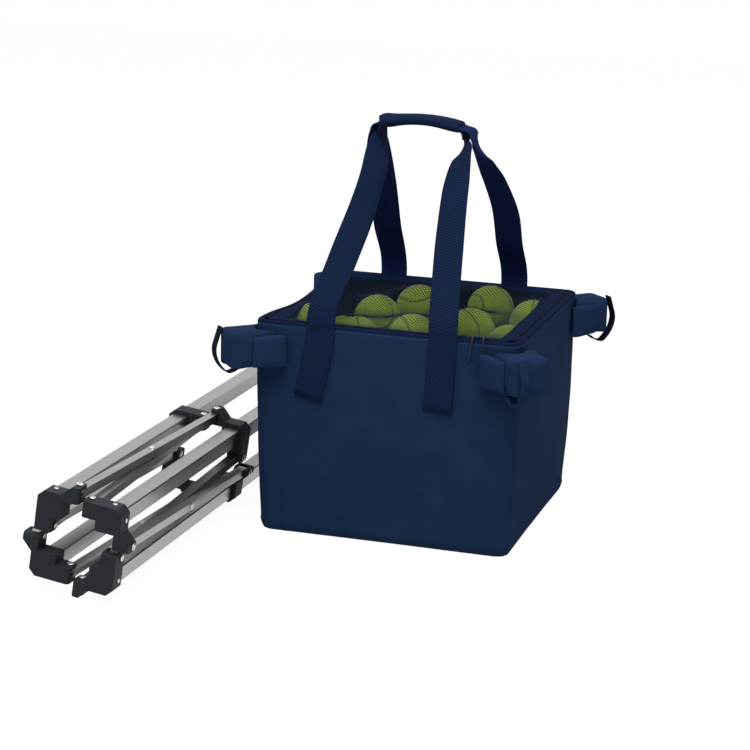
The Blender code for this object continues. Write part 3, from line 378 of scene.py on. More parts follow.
def sweep(name, path, across, profile, look, body, closed=False, slot=None, uv_width=False):
    """Sweeps a profile of (across, out) points along a path; across gives its width's way.

    uv_width takes the UVs from the place across the web, and not from the way round the profile.
    """
    path = [Vector(point) for point in path]
    count = len(path)
    points, uvs = [], []
    widths = [0.0]
    for first, second in zip(profile, (*profile[1:], profile[0])):
        widths.append(widths[-1] + math.dist(first, second))
    for index, (point, travelled) in enumerate(zip(path, lengths_along(path))):
        before = path[index - 1] if closed or index else point
        after = path[(index + 1) % count] if closed or index < count - 1 else point
        tangent = (after - before).normalized()
        side = Vector(across[index])
        side = (side - tangent * side.dot(tangent)).normalized()
        out = tangent.cross(side)
        for (a, b), width in zip(profile, widths):
            points.append(point + side * a + out * b)
            uvs.append((a if uv_width else width, travelled))
    faces = loft_faces(count, len(profile), closed_path=closed)
    if not closed:
        close_ends(faces, count, len(profile))
    return make_piece(name, points, faces, look, body, uvs, slot=slot)


def both_halves(half):
    """An outline from its first half, which is turned half round for the second."""
    return half + [(-a, -b) for a, b in half]


def flat_profile(width, thickness):
    """A flat web's section, with soft edges."""
    w, t = width / 2, thickness / 2
    edge = t * 0.7
    return both_halves([
        (-w, -t * 0.4), (-w + edge, -t), (-w / 2, -t), (0.0, -t), (w / 2, -t), (w - edge, -t),
        (w, -t * 0.4),
    ])


def round_profile(radius, steps=10):
    angles = [2 * math.pi * step / steps for step in range(steps)]
    return [(radius * math.cos(angle), radius * math.sin(angle)) for angle in angles]


def smooth_path(points, steps):
    """A smooth curve through points, with the same number of steps between any two."""
    runs = [end - start for start, end in zip(points, points[1:])]
    headings = [runs[0].normalized()]
    for before, after in zip(runs, runs[1:]):
        bend = before.normalized() * after.length + after.normalized() * before.length
        headings.append(bend.normalized())
    headings.append(runs[-1].normalized())
    path = []
    for index, (start, end) in enumerate(zip(points, points[1:])):
        leave, arrive = (headings[place] * (end - start).length for place in (index, index + 1))
        for step in range(steps):
            t = step / steps
            ahead = t ** 2 * (3 - 2 * t)
            point = start * (1 - ahead) + end * ahead
            path.append(point + leave * t * (1 - t) ** 2 - arrive * t ** 2 * (1 - t))
    path.append(points[-1].copy())
    return path


def modify(obj, kind, **settings):
    modifier = obj.modifiers.new(kind.title(), kind)
    for name, value in settings.items():
        setattr(modifier, name, value)
    return modifier


def apply_modifiers(obj):
    graph = bpy.context.evaluated_depsgraph_get()
    mesh = bpy.data.meshes.new_from_object(obj.evaluated_get(graph))
    obj.modifiers.clear()
    obj.data = mesh


# The bag's shape

def side_stations(arc_steps, side_steps):
    """Stations along one side: half a corner's arc, the straight run, and half of the next arc."""
    stations = [("start", math.pi / 4 * (1 - step / arc_steps)) for step in range(arc_steps)]
    stations += [("side", 2 * step / side_steps - 1) for step in range(side_steps)]
    stations += [("end", math.pi / 4 * step / arc_steps) for step in range(arc_steps)]
    return stations


def bag_point(side, station, level, inset=0.0, bulged=True):
    """A point of the bag's skin: side 0 is the front, 1 the right, 2 the back, 3 the left."""
    share = min(max(level / BAG_HEIGHT, 0.0), 1.0)
    narrow = 1 - BASE_TAPER * (1 - share) ** 1.5
    half_x, half_y = BAG_WIDTH / 2 * narrow, BAG_DEPTH / 2 * narrow
    along_half, out_half = (half_x, half_y) if side % 2 == 0 else (half_y, half_x)
    corner = max(BAG_CORNER, inset + LEAST_CORNER)
    reach, straight = corner - inset, along_half - corner
    kind, value = station
    if kind == "side":
        along, out = value * straight, out_half - inset
    else:
        sign = -1 if kind == "start" else 1
        along = sign * (straight + reach * math.sin(value))
        out = out_half - corner + reach * math.cos(value)
    if bulged:
        out += PANEL_BULGE * max(0.0, 1 - (along / along_half) ** 2) * math.sin(math.pi * share)
    directions = (((1, 0), (0, -1)), ((0, 1), (1, 0)), ((-1, 0), (0, 1)), ((0, -1), (-1, 0)))
    (ex, ey), (nx, ny) = directions[side]
    return Vector((ex * along + nx * out, ey * along + ny * out, level))


def rim_sag(x, y):
    """How far the rim hangs, which it does in the middle of the left side."""
    reach = max(0.0, -x / (BAG_WIDTH / 2))
    across = min(1.0, abs(y) / (BAG_DEPTH / 2 - BAG_CORNER))
    return LEFT_RIM_SAG * reach ** 6 * math.cos(across * math.pi / 2) ** 2


def sagged(point, share=1.0):
    return Vector((point.x, point.y, point.z - rim_sag(point.x, point.y) * share))


def rim_path(inset, level, sides=(0, 1, 2, 3), arc_steps=6, side_steps=24):
    """Points round the rim, and the way outwards at each."""
    path, outward = [], []
    for side in sides:
        for station in side_stations(arc_steps, side_steps):
            point = bag_point(side, station, BAG_HEIGHT, inset, bulged=False)
            beyond = bag_point(side, station, BAG_HEIGHT, inset - 0.001, bulged=False)
            point.z = beyond.z = level
            path.append(sagged(point))
            outward.append((beyond - point).normalized())
    return path, outward


def wall_detail(place, level):
    """Soft unevenness of a filled cloth wall, in metres outwards."""
    slow = noise.noise(Vector((place.x * 9, place.y * 9, place.z * 7)))
    fast = noise.noise(Vector((place.x * 26 + 5, place.y * 26, place.z * 20)))
    fade = min(1.0, level / 0.03) * min(1.0, (BAG_HEIGHT - level) / 0.03)
    return (0.0022 * slow + 0.0008 * fast) * fade


def ridge(distance, width, height):
    """Height of a soft ridge at a distance from its middle."""
    return height * math.exp(-((distance / width) ** 2))


SEAMS = ((0, -0.138), (0, 0.0885), (0, 0.0985), (2, -0.1), (2, 0.1))  # side and X of each seam


def seam_ridge(side, place):
    """Height of the stitched seams that run down the front and the back."""
    return sum(ridge(place.x - x, 0.0014, 0.0012) for where, x in SEAMS if where == side)


def build_walls():
    """One continuous shell for the four walls and the base, with its hem and its corner seams."""
    rows, top = 72, BAG_HEIGHT - 0.004
    foot_level, foot_draw = 0.010, 0.004
    hem_level, hem_width, hem_height = 0.012, 0.0016, 0.0009
    edge_width, edge_height = 0.08, 0.0007  # of the corner seams, their width as an angle
    ring = []
    for side in range(4):
        columns = 200 if side == 0 else 60  # close on the front, for its stitched seams
        ring += [(side, station) for station in side_stations(6, columns)]
    count = len(ring)
    points, uvs = [], []
    for inset, skin in ((0.0, 1), (BAG_WALL * 0.8, -1)):
        levels = [top * row / rows for row in range(rows + 1)]
        for row, level in enumerate(levels if skin > 0 else reversed(levels)):
            skin_row = []
            for side, station in ring:
                plain = bag_point(side, station, level, inset)
                out = Vector((plain.x, plain.y, 0.0)).normalized()
                foot = max(0.0, 1 - level / foot_level)
                shift = wall_detail(plain, level) - foot_draw * foot ** 2
                if skin > 0:
                    shift += seam_ridge(side, plain)
                    shift += ridge(level - hem_level, hem_width, hem_height)
                    if station[0] != "side":
                        shift += ridge(station[1] - math.pi / 4, edge_width, edge_height)
                skin_row.append(sagged(plain + out * shift, (level / top) ** 3))
            points += skin_row
            uvs += [(travelled, level) for travelled in lengths_along(skin_row)]
    rings = 2 * (rows + 1)
    faces = loft_faces(rings, count)
    close_ends(faces, rings, count)
    walls = make_piece("bag_shell", points, faces, "cloth", "bag", uvs, slot="navy_fabric")
    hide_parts("bag_front", "bag_right", "bag_back", "bag_left", "bag_base")
    walls.data.materials.append(LOOKS["lining"])
    outer_faces = (rows + 1) * count
    for polygon in walls.data.polygons:
        if min(polygon.vertices) >= outer_faces:
            polygon.material_index = 1


def build_rim():
    """The round piping on the rim, and the zip inside it on three sides."""
    path, outward = rim_path(RIM_RADIUS, BAG_HEIGHT - RIM_RADIUS)
    rim = sweep(
        "rim_piping", path, outward, round_profile(RIM_RADIUS, 12), "band", "bag",
        closed=True, slot="navy_webbing",
    )
    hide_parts("rim_binding")
    middle = ZIP_INSET + ZIP_WIDTH / 2
    path, outward = rim_path(middle, BAG_HEIGHT - LID_DROP, (3, 0, 1))
    tape = sweep(
        "zip_band", path, outward, flat_profile(ZIP_WIDTH + 0.001, 0.0014), "zip", "bag",
        slot="dark_mesh",
    )
    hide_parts("zip_tape")
    build_teeth(middle)


def build_teeth(middle):
    """The zip's coil: small teeth in pairs along its tape."""
    path, outward = rim_path(middle, BAG_HEIGHT - 0.0003, (3, 0, 1), 12, 130)
    half_length, half_width, height = 0.0006, 0.0022, 0.0009
    box = ((0, 1, 3, 2), (4, 6, 7, 5), (0, 4, 5, 1), (2, 3, 7, 6), (1, 5, 7, 3), (0, 2, 6, 4))
    points, faces = [], []
    for index in range(len(path) - 1):
        along = (path[index + 1] - path[index]).normalized()
        out, up = outward[index], Vector((0, 0, 1))
        start = len(points)
        for a in (-half_length, half_length):
            for b in (-half_width, half_width):
                for c in (0.0, height):
                    points.append(path[index] + along * a + out * b + up * c)
        faces += [[start + corner for corner in face] for face in box]
    make_piece("zip_teeth", points, faces, "zip", "bag", smooth=False, slot="dark_mesh")


# Balls and the mesh over them

TOP_BALLS = (
    (0.066, 0.128, 0.266),
    (-0.030, 0.092, 0.266),
    (-0.076, 0.040, 0.258),
    (-0.064, -0.094, 0.256),
    (0.076, -0.020, 0.265),
    (0.138, -0.052, 0.254),
    (0.140, 0.078, 0.2615),
    (-0.137, -0.066, 0.262),
    (0.008, -0.074, 0.262),
)
BED_LEVEL = 0.217  # of the middles of the balls under those
BALL_PITCH = 0.067


def ball_centres():
    """The top balls, and the layer under them but for one corner that a top ball fills."""
    centres = list(TOP_BALLS)
    for row in range(5):
        for column in range(5):
            if (column, row) != (0, 4):
                shift = noise.noise(Vector((column * 3.1, row * 2.7, 0.5))) * 0.0015
                x, y = (column - 2) * BALL_PITCH + shift, (row - 2) * BALL_PITCH - shift
                centres.append((x * 0.995, y * 0.985, BED_LEVEL))
    return centres


def ball_mesh():
    """A felt ball with the one wavy seam of a tennis ball."""
    form = bmesh.new()
    bmesh.ops.create_icosphere(form, subdivisions=4, radius=BALL_RADIUS)
    steps, wide, section = 120, 0.75, 6
    half_width, height = 0.0016, 0.0006
    line = []
    for step in range(steps):
        t = 2 * math.pi * step / steps
        line.append(BALL_RADIUS * Vector((
            wide * math.cos(t) + (1 - wide) * math.cos(3 * t),
            wide * math.sin(t) - (1 - wide) * math.sin(3 * t),
            2 * math.sqrt(wide * (1 - wide)) * math.sin(2 * t),
        )))
    seam = []
    for step, point in enumerate(line):
        tangent = (line[(step + 1) % steps] - line[step - 1]).normalized()
        out = point.normalized()
        side = tangent.cross(out)
        for a, b in round_profile(1.0, section):
            seam.append(form.verts.new(point + side * a * half_width + out * b * height))
    for corners in loft_faces(steps, section, closed_path=True):
        face = form.faces.new([seam[corner] for corner in corners])
        face.material_index = 1
    bmesh.ops.recalc_face_normals(form, faces=form.faces)
    mesh = bpy.data.meshes.new("tennis_ball")
    form.to_mesh(mesh)
    form.free()
    mesh.materials.append(LOOKS["felt"])
    mesh.materials.append(LOOKS["seam"])
    mesh.shade_smooth()
    return mesh


def build_balls():
    mesh = ball_mesh()
    for index, centre in enumerate(ball_centres()):
        ball = add_object(f"tennis_ball_{index + 1:02d}", mesh)
        ball.location = centre
        ball.rotation_euler = (1.3 * index + 0.4, 2.1 * index, 0.7 * index * index)
        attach(ball, "bag")
        if index == 0:
            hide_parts("tennis_balls")


def lid_heights():
    """Height of a tight mesh over the balls, on a square grid, relaxed as a stretched skin."""
    cells, passes = 120, 1500
    clearance = 0.0010  # of the net's middle over a ball
    sink = 0.000012  # a pass, so that the net hangs a little between balls
    corner, reach = 0.020, 0.0195  # outside reach in its corners, the lid lies at the rim's level
    half_x, half_y = BAG_WIDTH / 2 - BORDER_INSET, BAG_DEPTH / 2 - BORDER_INSET
    xs, ys = np.linspace(-half_x, half_x, cells + 1), np.linspace(-half_y, half_y, cells + 1)
    grid_x, grid_y = np.meshgrid(xs, ys)
    sag = LEFT_RIM_SAG * np.clip(-grid_x / (BAG_WIDTH / 2), 0, None) ** 6
    across = np.minimum(1.0, np.abs(grid_y) / (BAG_DEPTH / 2 - BAG_CORNER))
    edge = BAG_HEIGHT - LID_DROP - sag * np.cos(across * math.pi / 2) ** 2
    support = np.full_like(grid_x, -1.0)
    for x, y, z in ball_centres():
        over = (BALL_RADIUS + clearance) ** 2 - (grid_x - x) ** 2 - (grid_y - y) ** 2
        support = np.maximum(support, np.where(over > 0, z + np.sqrt(np.clip(over, 0, None)), -1.0))
    over_x, over_y = np.abs(grid_x) - (half_x - corner), np.abs(grid_y) - (half_y - corner)
    outside = np.hypot(np.clip(over_x, 0, None), np.clip(over_y, 0, None)) > reach
    height = edge.copy()
    inner = (slice(1, -1), slice(1, -1))
    for _ in range(passes):
        mean = (height[:-2, 1:-1] + height[2:, 1:-1] + height[1:-1, :-2] + height[1:-1, 2:]) / 4
        height[inner] = np.maximum(mean - sink, support[inner])
        height = np.where(outside, edge, height)
    return xs, ys, height


LID_GRID = lid_heights()


def lid_height(x, y):
    """The lid's height at a place, between the grid's points."""
    xs, ys, height = LID_GRID
    column = min(max((x - xs[0]) / (xs[1] - xs[0]), 0), len(xs) - 1.001)
    row = min(max((y - ys[0]) / (ys[1] - ys[0]), 0), len(ys) - 1.001)
    c, r = int(column), int(row)
    u, v = column - c, row - r
    low = height[r, c] * (1 - u) + height[r, c + 1] * u
    high = height[r + 1, c] * (1 - u) + height[r + 1, c + 1] * u
    return low * (1 - v) + high * v


def build_border():
    """The cloth border round the lid."""
    ring = [(side, station) for side in range(4) for station in side_stations(6, 24)]
    points, uvs = [], []
    widths = np.linspace(0.0, 1.0, 6)
    thickness, cover = 0.0012, 0.0009  # cover is its top over the net's height
    for lift in (0.0, -thickness):
        for width in widths if lift == 0 else widths[::-1]:
            inset = BORDER_INSET - 0.0004 + (BORDER_WIDTH + 0.002) * width
            edge_row = []
            for side, station in ring:
                point = bag_point(side, station, BAG_HEIGHT, inset, bulged=False)
                point.z = lid_height(point.x, point.y) + cover + lift
                edge_row.append(point)
            points += edge_row
            uvs += [(width * BORDER_WIDTH, travelled) for travelled in lengths_along(edge_row)]
    count = len(ring)
    faces = loft_faces(2 * len(widths), count, closed_path=True)
    border = make_piece("lid_band", points, faces, "band", "lid", uvs, slot="navy_fabric")
    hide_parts("lid_border")


def build_net():
    """Threads on the slant that cross in small diamonds, cut to the border's inner edge."""
    half_x = BAG_WIDTH / 2 - NET_INSET + NET_OVERLAP
    half_y = BAG_DEPTH / 2 - NET_INSET + NET_OVERLAP
    corner = 0.008
    reach = int((half_x + half_y) / NET_PITCH) + 1

    def crossing(i, j):
        x, y = (i - j) * NET_PITCH / 2, (i + j) * NET_PITCH / 2
        if abs(x) > half_x or abs(y) > half_y:
            return None
        over_x, over_y = abs(x) - half_x + corner, abs(y) - half_y + corner
        if over_x > 0 and over_y > 0 and math.hypot(over_x, over_y) > corner:
            return None
        return (x, y, lid_height(x, y) + NET_LIFT)

    index_of, faces = {}, []
    for i in range(-reach, reach + 1):
        for j in range(-reach, reach + 1):
            corners = [crossing(i, j), crossing(i + 1, j), crossing(i + 1, j + 1), crossing(i, j + 1)]
            if None not in corners:
                faces.append([index_of.setdefault(corner, len(index_of)) for corner in corners])
    net = make_piece("net_top", list(index_of), faces, "net", None, slot="dark_mesh")
    modify(net, "WIREFRAME", thickness=NET_THREAD, use_boundary=True, use_even_offset=False)
    apply_modifiers(net)
    for point in net.data.vertices:
        middle = lid_height(point.co.x, point.co.y) + NET_LIFT
        point.co.z = middle + (point.co.z - middle) * NET_FLATNESS
    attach(net, "lid")
    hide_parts("mesh_lid")


def build_hinge_tape():
    """The cloth strip along the back of the rim that the lid turns on."""
    thickness, overlap = 0.0010, 0.001
    rim_y, lid_y = (BAG_DEPTH / 2 - inset - overlap for inset in (RIM_RADIUS, BORDER_INSET))
    level = BAG_HEIGHT - 0.0016
    path = [Vector((0, y, level)) for y in np.linspace(rim_y, lid_y, 18)]
    tape = sweep(
        "hinge_tape", path, [Vector((1, 0, 0))] * len(path),
        flat_profile(BAG_WIDTH - 2 * BAG_CORNER, thickness), "band", None, slot="navy_fabric",
    )
    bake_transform(tape)


# Handles

def grip_height(x):
    """Height of the grip's middle line, which slopes and arches."""
    place_on = (x - GRIP_CENTRE) / (GRIP_LENGTH / 2)
    return GRIP_HEIGHT + GRIP_SLOPE * (x - GRIP_CENTRE) - GRIP_ARCH * place_on ** 2


def handle_route(back):
    """The middle line of a handle's web above the rim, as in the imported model."""
    foot_y = (1 if back else -1) * (BAG_DEPTH / 2 + STRAP_OUT)
    rise = GRIP_HEIGHT - STRAP_FOOT
    level = WEB_SPACING / 2 if back else -WEB_SPACING / 2
    limbs, feet = (BACK_LIMBS, BACK_STRAP_X) if back else (FRONT_LIMBS, FRONT_STRAP_X)
    route = []
    for side, limb, foot_x in zip((-1, 1), limbs, feet):
        points = [(foot_x, foot_y, STRAP_FOOT), (foot_x, foot_y, STRAP_FOOT + UPRIGHT * rise)]
        points += [(x, foot_y * out, STRAP_FOOT + rise * up) for x, out, up in limb]
        end = GRIP_CENTRE + side * (GRIP_LENGTH / 2 + WEB_END)
        top = grip_height(end) + level
        for beyond, out, below in BACK_BEND if back else FRONT_BEND:
            points.append((end + side * beyond, foot_y * out, top - below))
        points.append((end, 0.0, top))
        for share in (0.9, 0.45):
            x = GRIP_CENTRE + side * share * GRIP_LENGTH / 2
            points.append((x, 0.0, grip_height(x) + level))
        route += points if side < 0 else [(GRIP_CENTRE, 0.0, GRIP_HEIGHT + level), *reversed(points)]
    return [Vector(point) for point in route]


def width_direction(point):
    """The way a web's width lies: across the bag at its feet, front to back in the grip."""
    share = (point.z - STRAP_FOOT) / (GRIP_HEIGHT - STRAP_FOOT)
    on_left = point.x < GRIP_CENTRE
    turn = np.interp(share, *zip(*(LEFT_TURN if on_left else RIGHT_TURN)))
    angle = math.pi / 2 * (turn if on_left else 2 - turn)
    return Vector((math.cos(angle), math.sin(angle), 0.0))


def sewn_points(back, which, steps=12):
    """The part of a web that is sewn on the wall, from its lower end up."""
    side, sign = (2, -1) if back else (0, 1)
    half = BAG_WIDTH / 2 - BAG_CORNER
    foot_x = (BACK_STRAP_X if back else FRONT_STRAP_X)[which]
    points = []
    for step in range(steps):
        share = step / steps
        level = SEWN_LOW + (STRAP_FOOT - SEWN_LOW) * share
        x = foot_x + SEWN_LEAN[which] * (1 - share) ** 1.5
        points.append(bag_point(side, ("side", sign * x / half), level, -0.0022))
    return points


def build_handle(back, name, node):
    """A handle's web from one sewn end to the other, which bends at the rim."""
    upper = smooth_path(handle_route(back), 7)
    left, right = sewn_points(back, 0), sewn_points(back, 1)
    path = [*left, *upper, *reversed(right)]
    across = [Vector((1, 0, 0))] * len(left)
    across += [width_direction(point) for point in upper]
    across += [Vector((-1, 0, 0))] * len(right)
    web = sweep(
        name, path, across, flat_profile(STRAP_WIDTH, STRAP_THICKNESS),
        # the back handle wears the bluer copy of the web, which is painted shade
        "back_web_painted_shade" if back else "web", None,
        slot="navy_webbing", uv_width=True,
    )
    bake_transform(web)
    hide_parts(node)


def points_of(mesh):
    values = np.empty(len(mesh.vertices) * 3)
    mesh.vertices.foreach_get("co", values)
    return values.reshape(-1, 3)


def inflate(obj, pressure, cap, pinned):
    """Blows a closed mesh up as cloth, and caps how far a point moves."""
    start = points_of(obj.data)
    cloth = modify(obj, "CLOTH")
    cloth.settings.use_pressure = True
    cloth.settings.uniform_pressure_force = pressure
    cloth.settings.effector_weights.gravity = 0.0
    cloth.settings.quality = 5
    if pinned is not None:
        group = obj.vertex_groups.new(name="held")
        held = [index for index, point in enumerate(start) if pinned(Vector(point))]
        group.add(held, 1.0, "REPLACE")
        cloth.settings.vertex_group_mass = "held"
    scene = bpy.context.scene
    for step in range(1, 21):
        scene.frame_set(step)
    apply_modifiers(obj)
    obj.vertex_groups.clear()
    shift = points_of(obj.data) - start
    length = np.maximum(np.linalg.norm(shift, axis=1, keepdims=True), 1e-9)
    capped = start + shift * np.minimum(1.0, cap / length)
    obj.data.vertices.foreach_set("co", capped.ravel())
    scene.frame_set(1)


def puff(obj, voxel, pressure, cap, pinned=None, soften=2):
    """Pads a closed mesh: remeshes it, inflates it as cloth, and softens it."""
    modify(obj, "REMESH", mode="VOXEL", voxel_size=voxel)
    apply_modifiers(obj)
    inflate(obj, pressure, cap, pinned)
    modify(obj, "SMOOTH", factor=0.5, iterations=soften)
    modify(obj, "SUBSURF", levels=1, render_levels=1)
    apply_modifiers(obj)
    obj.data.shade_smooth()


def build_grip():
    """The padded sleeve round both webs, thicker at its ends, its left end turned up."""
    rings, steps, inset = 31, 32, 0.001
    half_height, swell = 0.0046, 0.0022  # in the middle, and what the ends add
    turn_up, turn_out, bulge = 0.0035, 0.004, 0.005  # of the left end
    points = []
    for ring in range(rings):
        share = 2 * ring / (rings - 1) - 1
        x = GRIP_CENTRE + share * (GRIP_LENGTH / 2 - inset)
        half_z = half_height + swell * abs(share) ** 3
        for step in range(steps):
            angle = 2 * math.pi * step / steps
            cosine, sine = math.cos(angle), math.sin(angle)
            y = math.copysign(abs(cosine) ** 0.6, cosine) * (GRIP_WIDTH / 2 - inset)
            z = math.copysign(abs(sine) ** 0.7, sine) * half_z
            flare = max(0.0, sine) * max(0.0, -share) ** 4
            end = max(0.0, -share) ** 12
            z += grip_height(x) + turn_up * flare
            points.append((x - turn_out * flare - bulge * end, y, z))
    faces = loft_faces(rings, steps)
    close_ends(faces, rings, steps)
    grip = make_piece("grip_sleeve", points, faces, "sleeve", None, slot="navy_fabric")
    puff(grip, 0.0026, 3.0, 0.002)
    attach(grip, "handle_front")
    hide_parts("grip_wrap")


# Corner pockets, all modelled at the back right corner

def on_diagonal(reach, across):
    """A place at a reach along the corner's diagonal, and a shift across it."""
    return ((reach - across) / ROOT2, (reach + across) / ROOT2)


def diagonal_outline(inner, outer, across, bevel):
    """A block along the diagonal, seen from above, with its two outer edges bevelled."""
    half = [(inner, across), (outer - bevel, across), (outer, across - bevel)]
    other = [(reach, -shift) for reach, shift in reversed(half)]
    return [on_diagonal(reach, shift) for reach, shift in half + other]


def cap_outline(shrink):
    """The cap over a stand bracket, with an inner side that goes round the bag's corner."""
    across = POCKET_WIDTH / 2 - shrink
    radius = BAG_CORNER + POCKET_STANDOFF
    arc = []
    for step in range(7):
        angle = math.pi / 2 * step / 6
        arc.append((CORNER_MIDDLE + radius * math.cos(angle), CORNER_MIDDLE + radius * math.sin(angle)))
    root = ROOT2 * (HALF_BAG + POCKET_STANDOFF) - across
    return arc + diagonal_outline(root, POCKET_REACH - shrink, across, 0.006)


def wing_outline(shrink):
    """The pad beside the cap, on the back wall: it fills the nook between the two."""
    low_x = HALF_BAG - WING_LENGTH + shrink
    low_y = HALF_BAG + POCKET_STANDOFF
    high_y = low_y + WING_THICKNESS - shrink
    bevel, tip_y = 0.004, high_y + 0.019
    to_cap = ROOT2 * (POCKET_WIDTH / 2 + 0.0006)
    return [
        (low_x, low_y), (low_y - to_cap, low_y), (tip_y - to_cap, tip_y),
        (tip_y - to_cap - bevel, tip_y), (low_x + bevel, high_y + bevel / 2), (low_x, high_y - bevel),
    ]


def prism(outline, low, high):
    """Points and faces of an upright prism."""
    points = [(x, y, level) for level in (low, high) for x, y in outline]
    faces = loft_faces(2, len(outline))
    close_ends(faces, 2, len(outline))
    return points, faces


def near_wall(point):
    """True on the faces that are sewn against the bag."""
    margin = POCKET_STANDOFF + 0.0008
    if min(point.x, point.y) > CORNER_MIDDLE:
        return math.hypot(point.x - CORNER_MIDDLE, point.y - CORNER_MIDDLE) < BAG_CORNER + margin
    return max(point.x, point.y) < HALF_BAG + margin


def build_pockets():
    """Each corner's cap with its hollow, and a pad at each side of it."""
    shrink = 0.0018
    low, high = POCKET_TOP - POCKET_HEIGHT + shrink, POCKET_TOP - shrink
    block = prism(cap_outline(shrink), low, high)
    cap = make_piece("cap", *block, "padding", None, slot="navy_fabric")
    puff(cap, 0.0026, 3.5, 0.0034, near_wall, soften=5)
    inner = CORNER_MIDDLE * ROOT2 + BAG_CORNER + POCKET_WALL
    outer = POCKET_REACH - POCKET_WALL - 0.001
    outline = diagonal_outline(inner, outer, POCKET_WIDTH / 2 - POCKET_WALL, 0.009)
    block = prism(outline, low - 0.01, POCKET_TOP - POCKET_WALL - 0.0005)
    cavity = make_piece("cavity", *block, "lining", None, smooth=False)
    modify(cap, "BOOLEAN", operation="DIFFERENCE", solver="EXACT", object=cavity)
    apply_modifiers(cap)
    bpy.data.objects.remove(cavity, do_unlink=True)
    cap.data.set_sharp_from_angle(angle=math.radians(55))
    block = prism(wing_outline(0.0020), low, high - 0.004)
    wing = make_piece("wing", *block, "padding", None, slot="navy_fabric")
    puff(wing, 0.0022, 4.0, 0.0042, near_wall, soften=8)
    other = wing.data.copy()
    mirror_diagonal = Matrix(((0, 1, 0, 0), (1, 0, 0, 0), (0, 0, 1, 0), (0, 0, 0, 1)))
    other.transform(mirror_diagonal)
    other.flip_normals()
    for index, corner in enumerate(("back_right", "back_left", "front_left", "front_right")):
        turn = Matrix.Rotation(math.radians(90 * index), 4, "Z")
        for part, mesh in (("cap", cap.data), ("pad_a", wing.data), ("pad_b", other)):
            piece = add_object(f"pocket_{part}_{corner}", mesh.copy())
            piece.data.transform(turn)
            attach(piece, "bag")
            if part == "cap":
                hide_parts("corner_pocket_" + corner)
        build_loop(corner, turn)
    for original in (cap, wing):
        bpy.data.objects.remove(original, do_unlink=True)


def build_loop(corner, turn):
    """The web loop that hangs on a cap's outer face and returns under it."""
    diagonal = Vector((1 / ROOT2, 1 / ROOT2, 0.0))
    across = Vector((1 / ROOT2, -1 / ROOT2, 0.0))
    bottom = POCKET_TOP - POCKET_HEIGHT
    clear = 0.0003 + LOOP_THICKNESS / 2
    outer = POCKET_REACH + 0.001 + clear
    shift = POCKET_WIDTH / 2 - LOOP_WIDTH / 2 - 0.003
    route = (
        (outer - 0.0035, POCKET_TOP + 0.001), (outer + 0.0005, POCKET_TOP - 0.011),
        (outer + 0.0055, POCKET_TOP - 0.031), (outer + 0.0025, bottom + 0.008),
        (outer - 0.006, bottom - 0.0045), (outer - 0.0135, bottom - 0.0105),
        (outer - 0.0225, bottom - 0.009), (outer - 0.034, bottom - clear - 0.0006),
    )
    points = [turn @ (diagonal * r + across * shift + Vector((0, 0, z))) for r, z in route]
    path = smooth_path(points, 6)
    side = turn @ across
    loop = sweep(
        "pull_loop_" + corner, path, [side] * len(path), flat_profile(LOOP_WIDTH, LOOP_THICKNESS),
        "padding" if corner == "front_right" else "loop", "bag", slot="black_webbing", uv_width=True,
    )
    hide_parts("pocket_loop_" + corner)


# Zip pulls

def build_zip_pulls():
    """Two zip sliders, each with a thin pull that hangs over the rim."""
    edge = -BAG_DEPTH / 2
    y = edge + ZIP_INSET + ZIP_WIDTH / 2
    base = BAG_HEIGHT + 0.0003
    thickness = 0.003
    outline = both_halves([(-0.0055, -0.0022), (-0.0035, -0.0036), (0.0035, -0.0036), (0.0055, -0.0022)])
    for name, x, lean in (("left", 0.120, -0.002), ("right", 0.134, 0.001)):
        body = "zip_" + name
        block = prism([(x + a, y + b) for a, b in outline], base, base + thickness)
        runner = make_piece(f"zip_runner_{name}", *block, "puller", body, smooth=False,
                            slot="slider_metal")
        modify(runner, "BEVEL", width=0.0007, segments=2)
        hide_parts("zip_slider_" + name)
        route = (
            (x, y, base + 0.0038), (x, edge - 0.001, base + thickness),
            (x + lean * 0.3, edge - 0.0035, base - 0.003), (x + lean, edge - 0.0042, base - 0.014),
            (x + lean * 2, edge - 0.0042, base - 0.028),
        )
        path = smooth_path([Vector(point) for point in route], 5)
        sweep(f"zip_pull_{name}", path, [Vector((1, 0, 0))] * len(path),
              flat_profile(0.0028, 0.0014), "puller", body, slot="slider_metal")


# Stand

def stand_point(x, y, z):
    return STAND_ORIGIN + STAND_AXES[0] * x + STAND_AXES[1] * y + STAND_AXES[2] * z


def add_dome(points, faces, place, way, radius, height):
    """Adds a low rivet head to a mesh, at a place and facing a way in the stand's own frame."""
    centre = stand_point(*place)
    axis = (stand_point(*way) - STAND_ORIGIN).normalized()
    helper = Vector((0, 0, 1)) if abs(axis.z) < 0.8 else Vector((1, 0, 0))
    side = axis.cross(helper).normalized()
    up = axis.cross(side)
    rings = ((1.0, -0.1), (1.0, 0.35), (0.86, 0.7), (0.5, 0.95), (0.12, 1.0))
    start = len(points)
    for share, level in rings:
        for a, b in round_profile(1.0, 14):
            spoke = side * a + up * b
            points.append(centre + spoke * radius * share + axis * height * level)
    dome = loft_faces(len(rings), 14)
    close_ends(dome, len(rings), 14)
    faces += [[start + corner for corner in face] for face in dome]


CORNERS = ("upper_left", "upper_right", "lower_right", "lower_left")


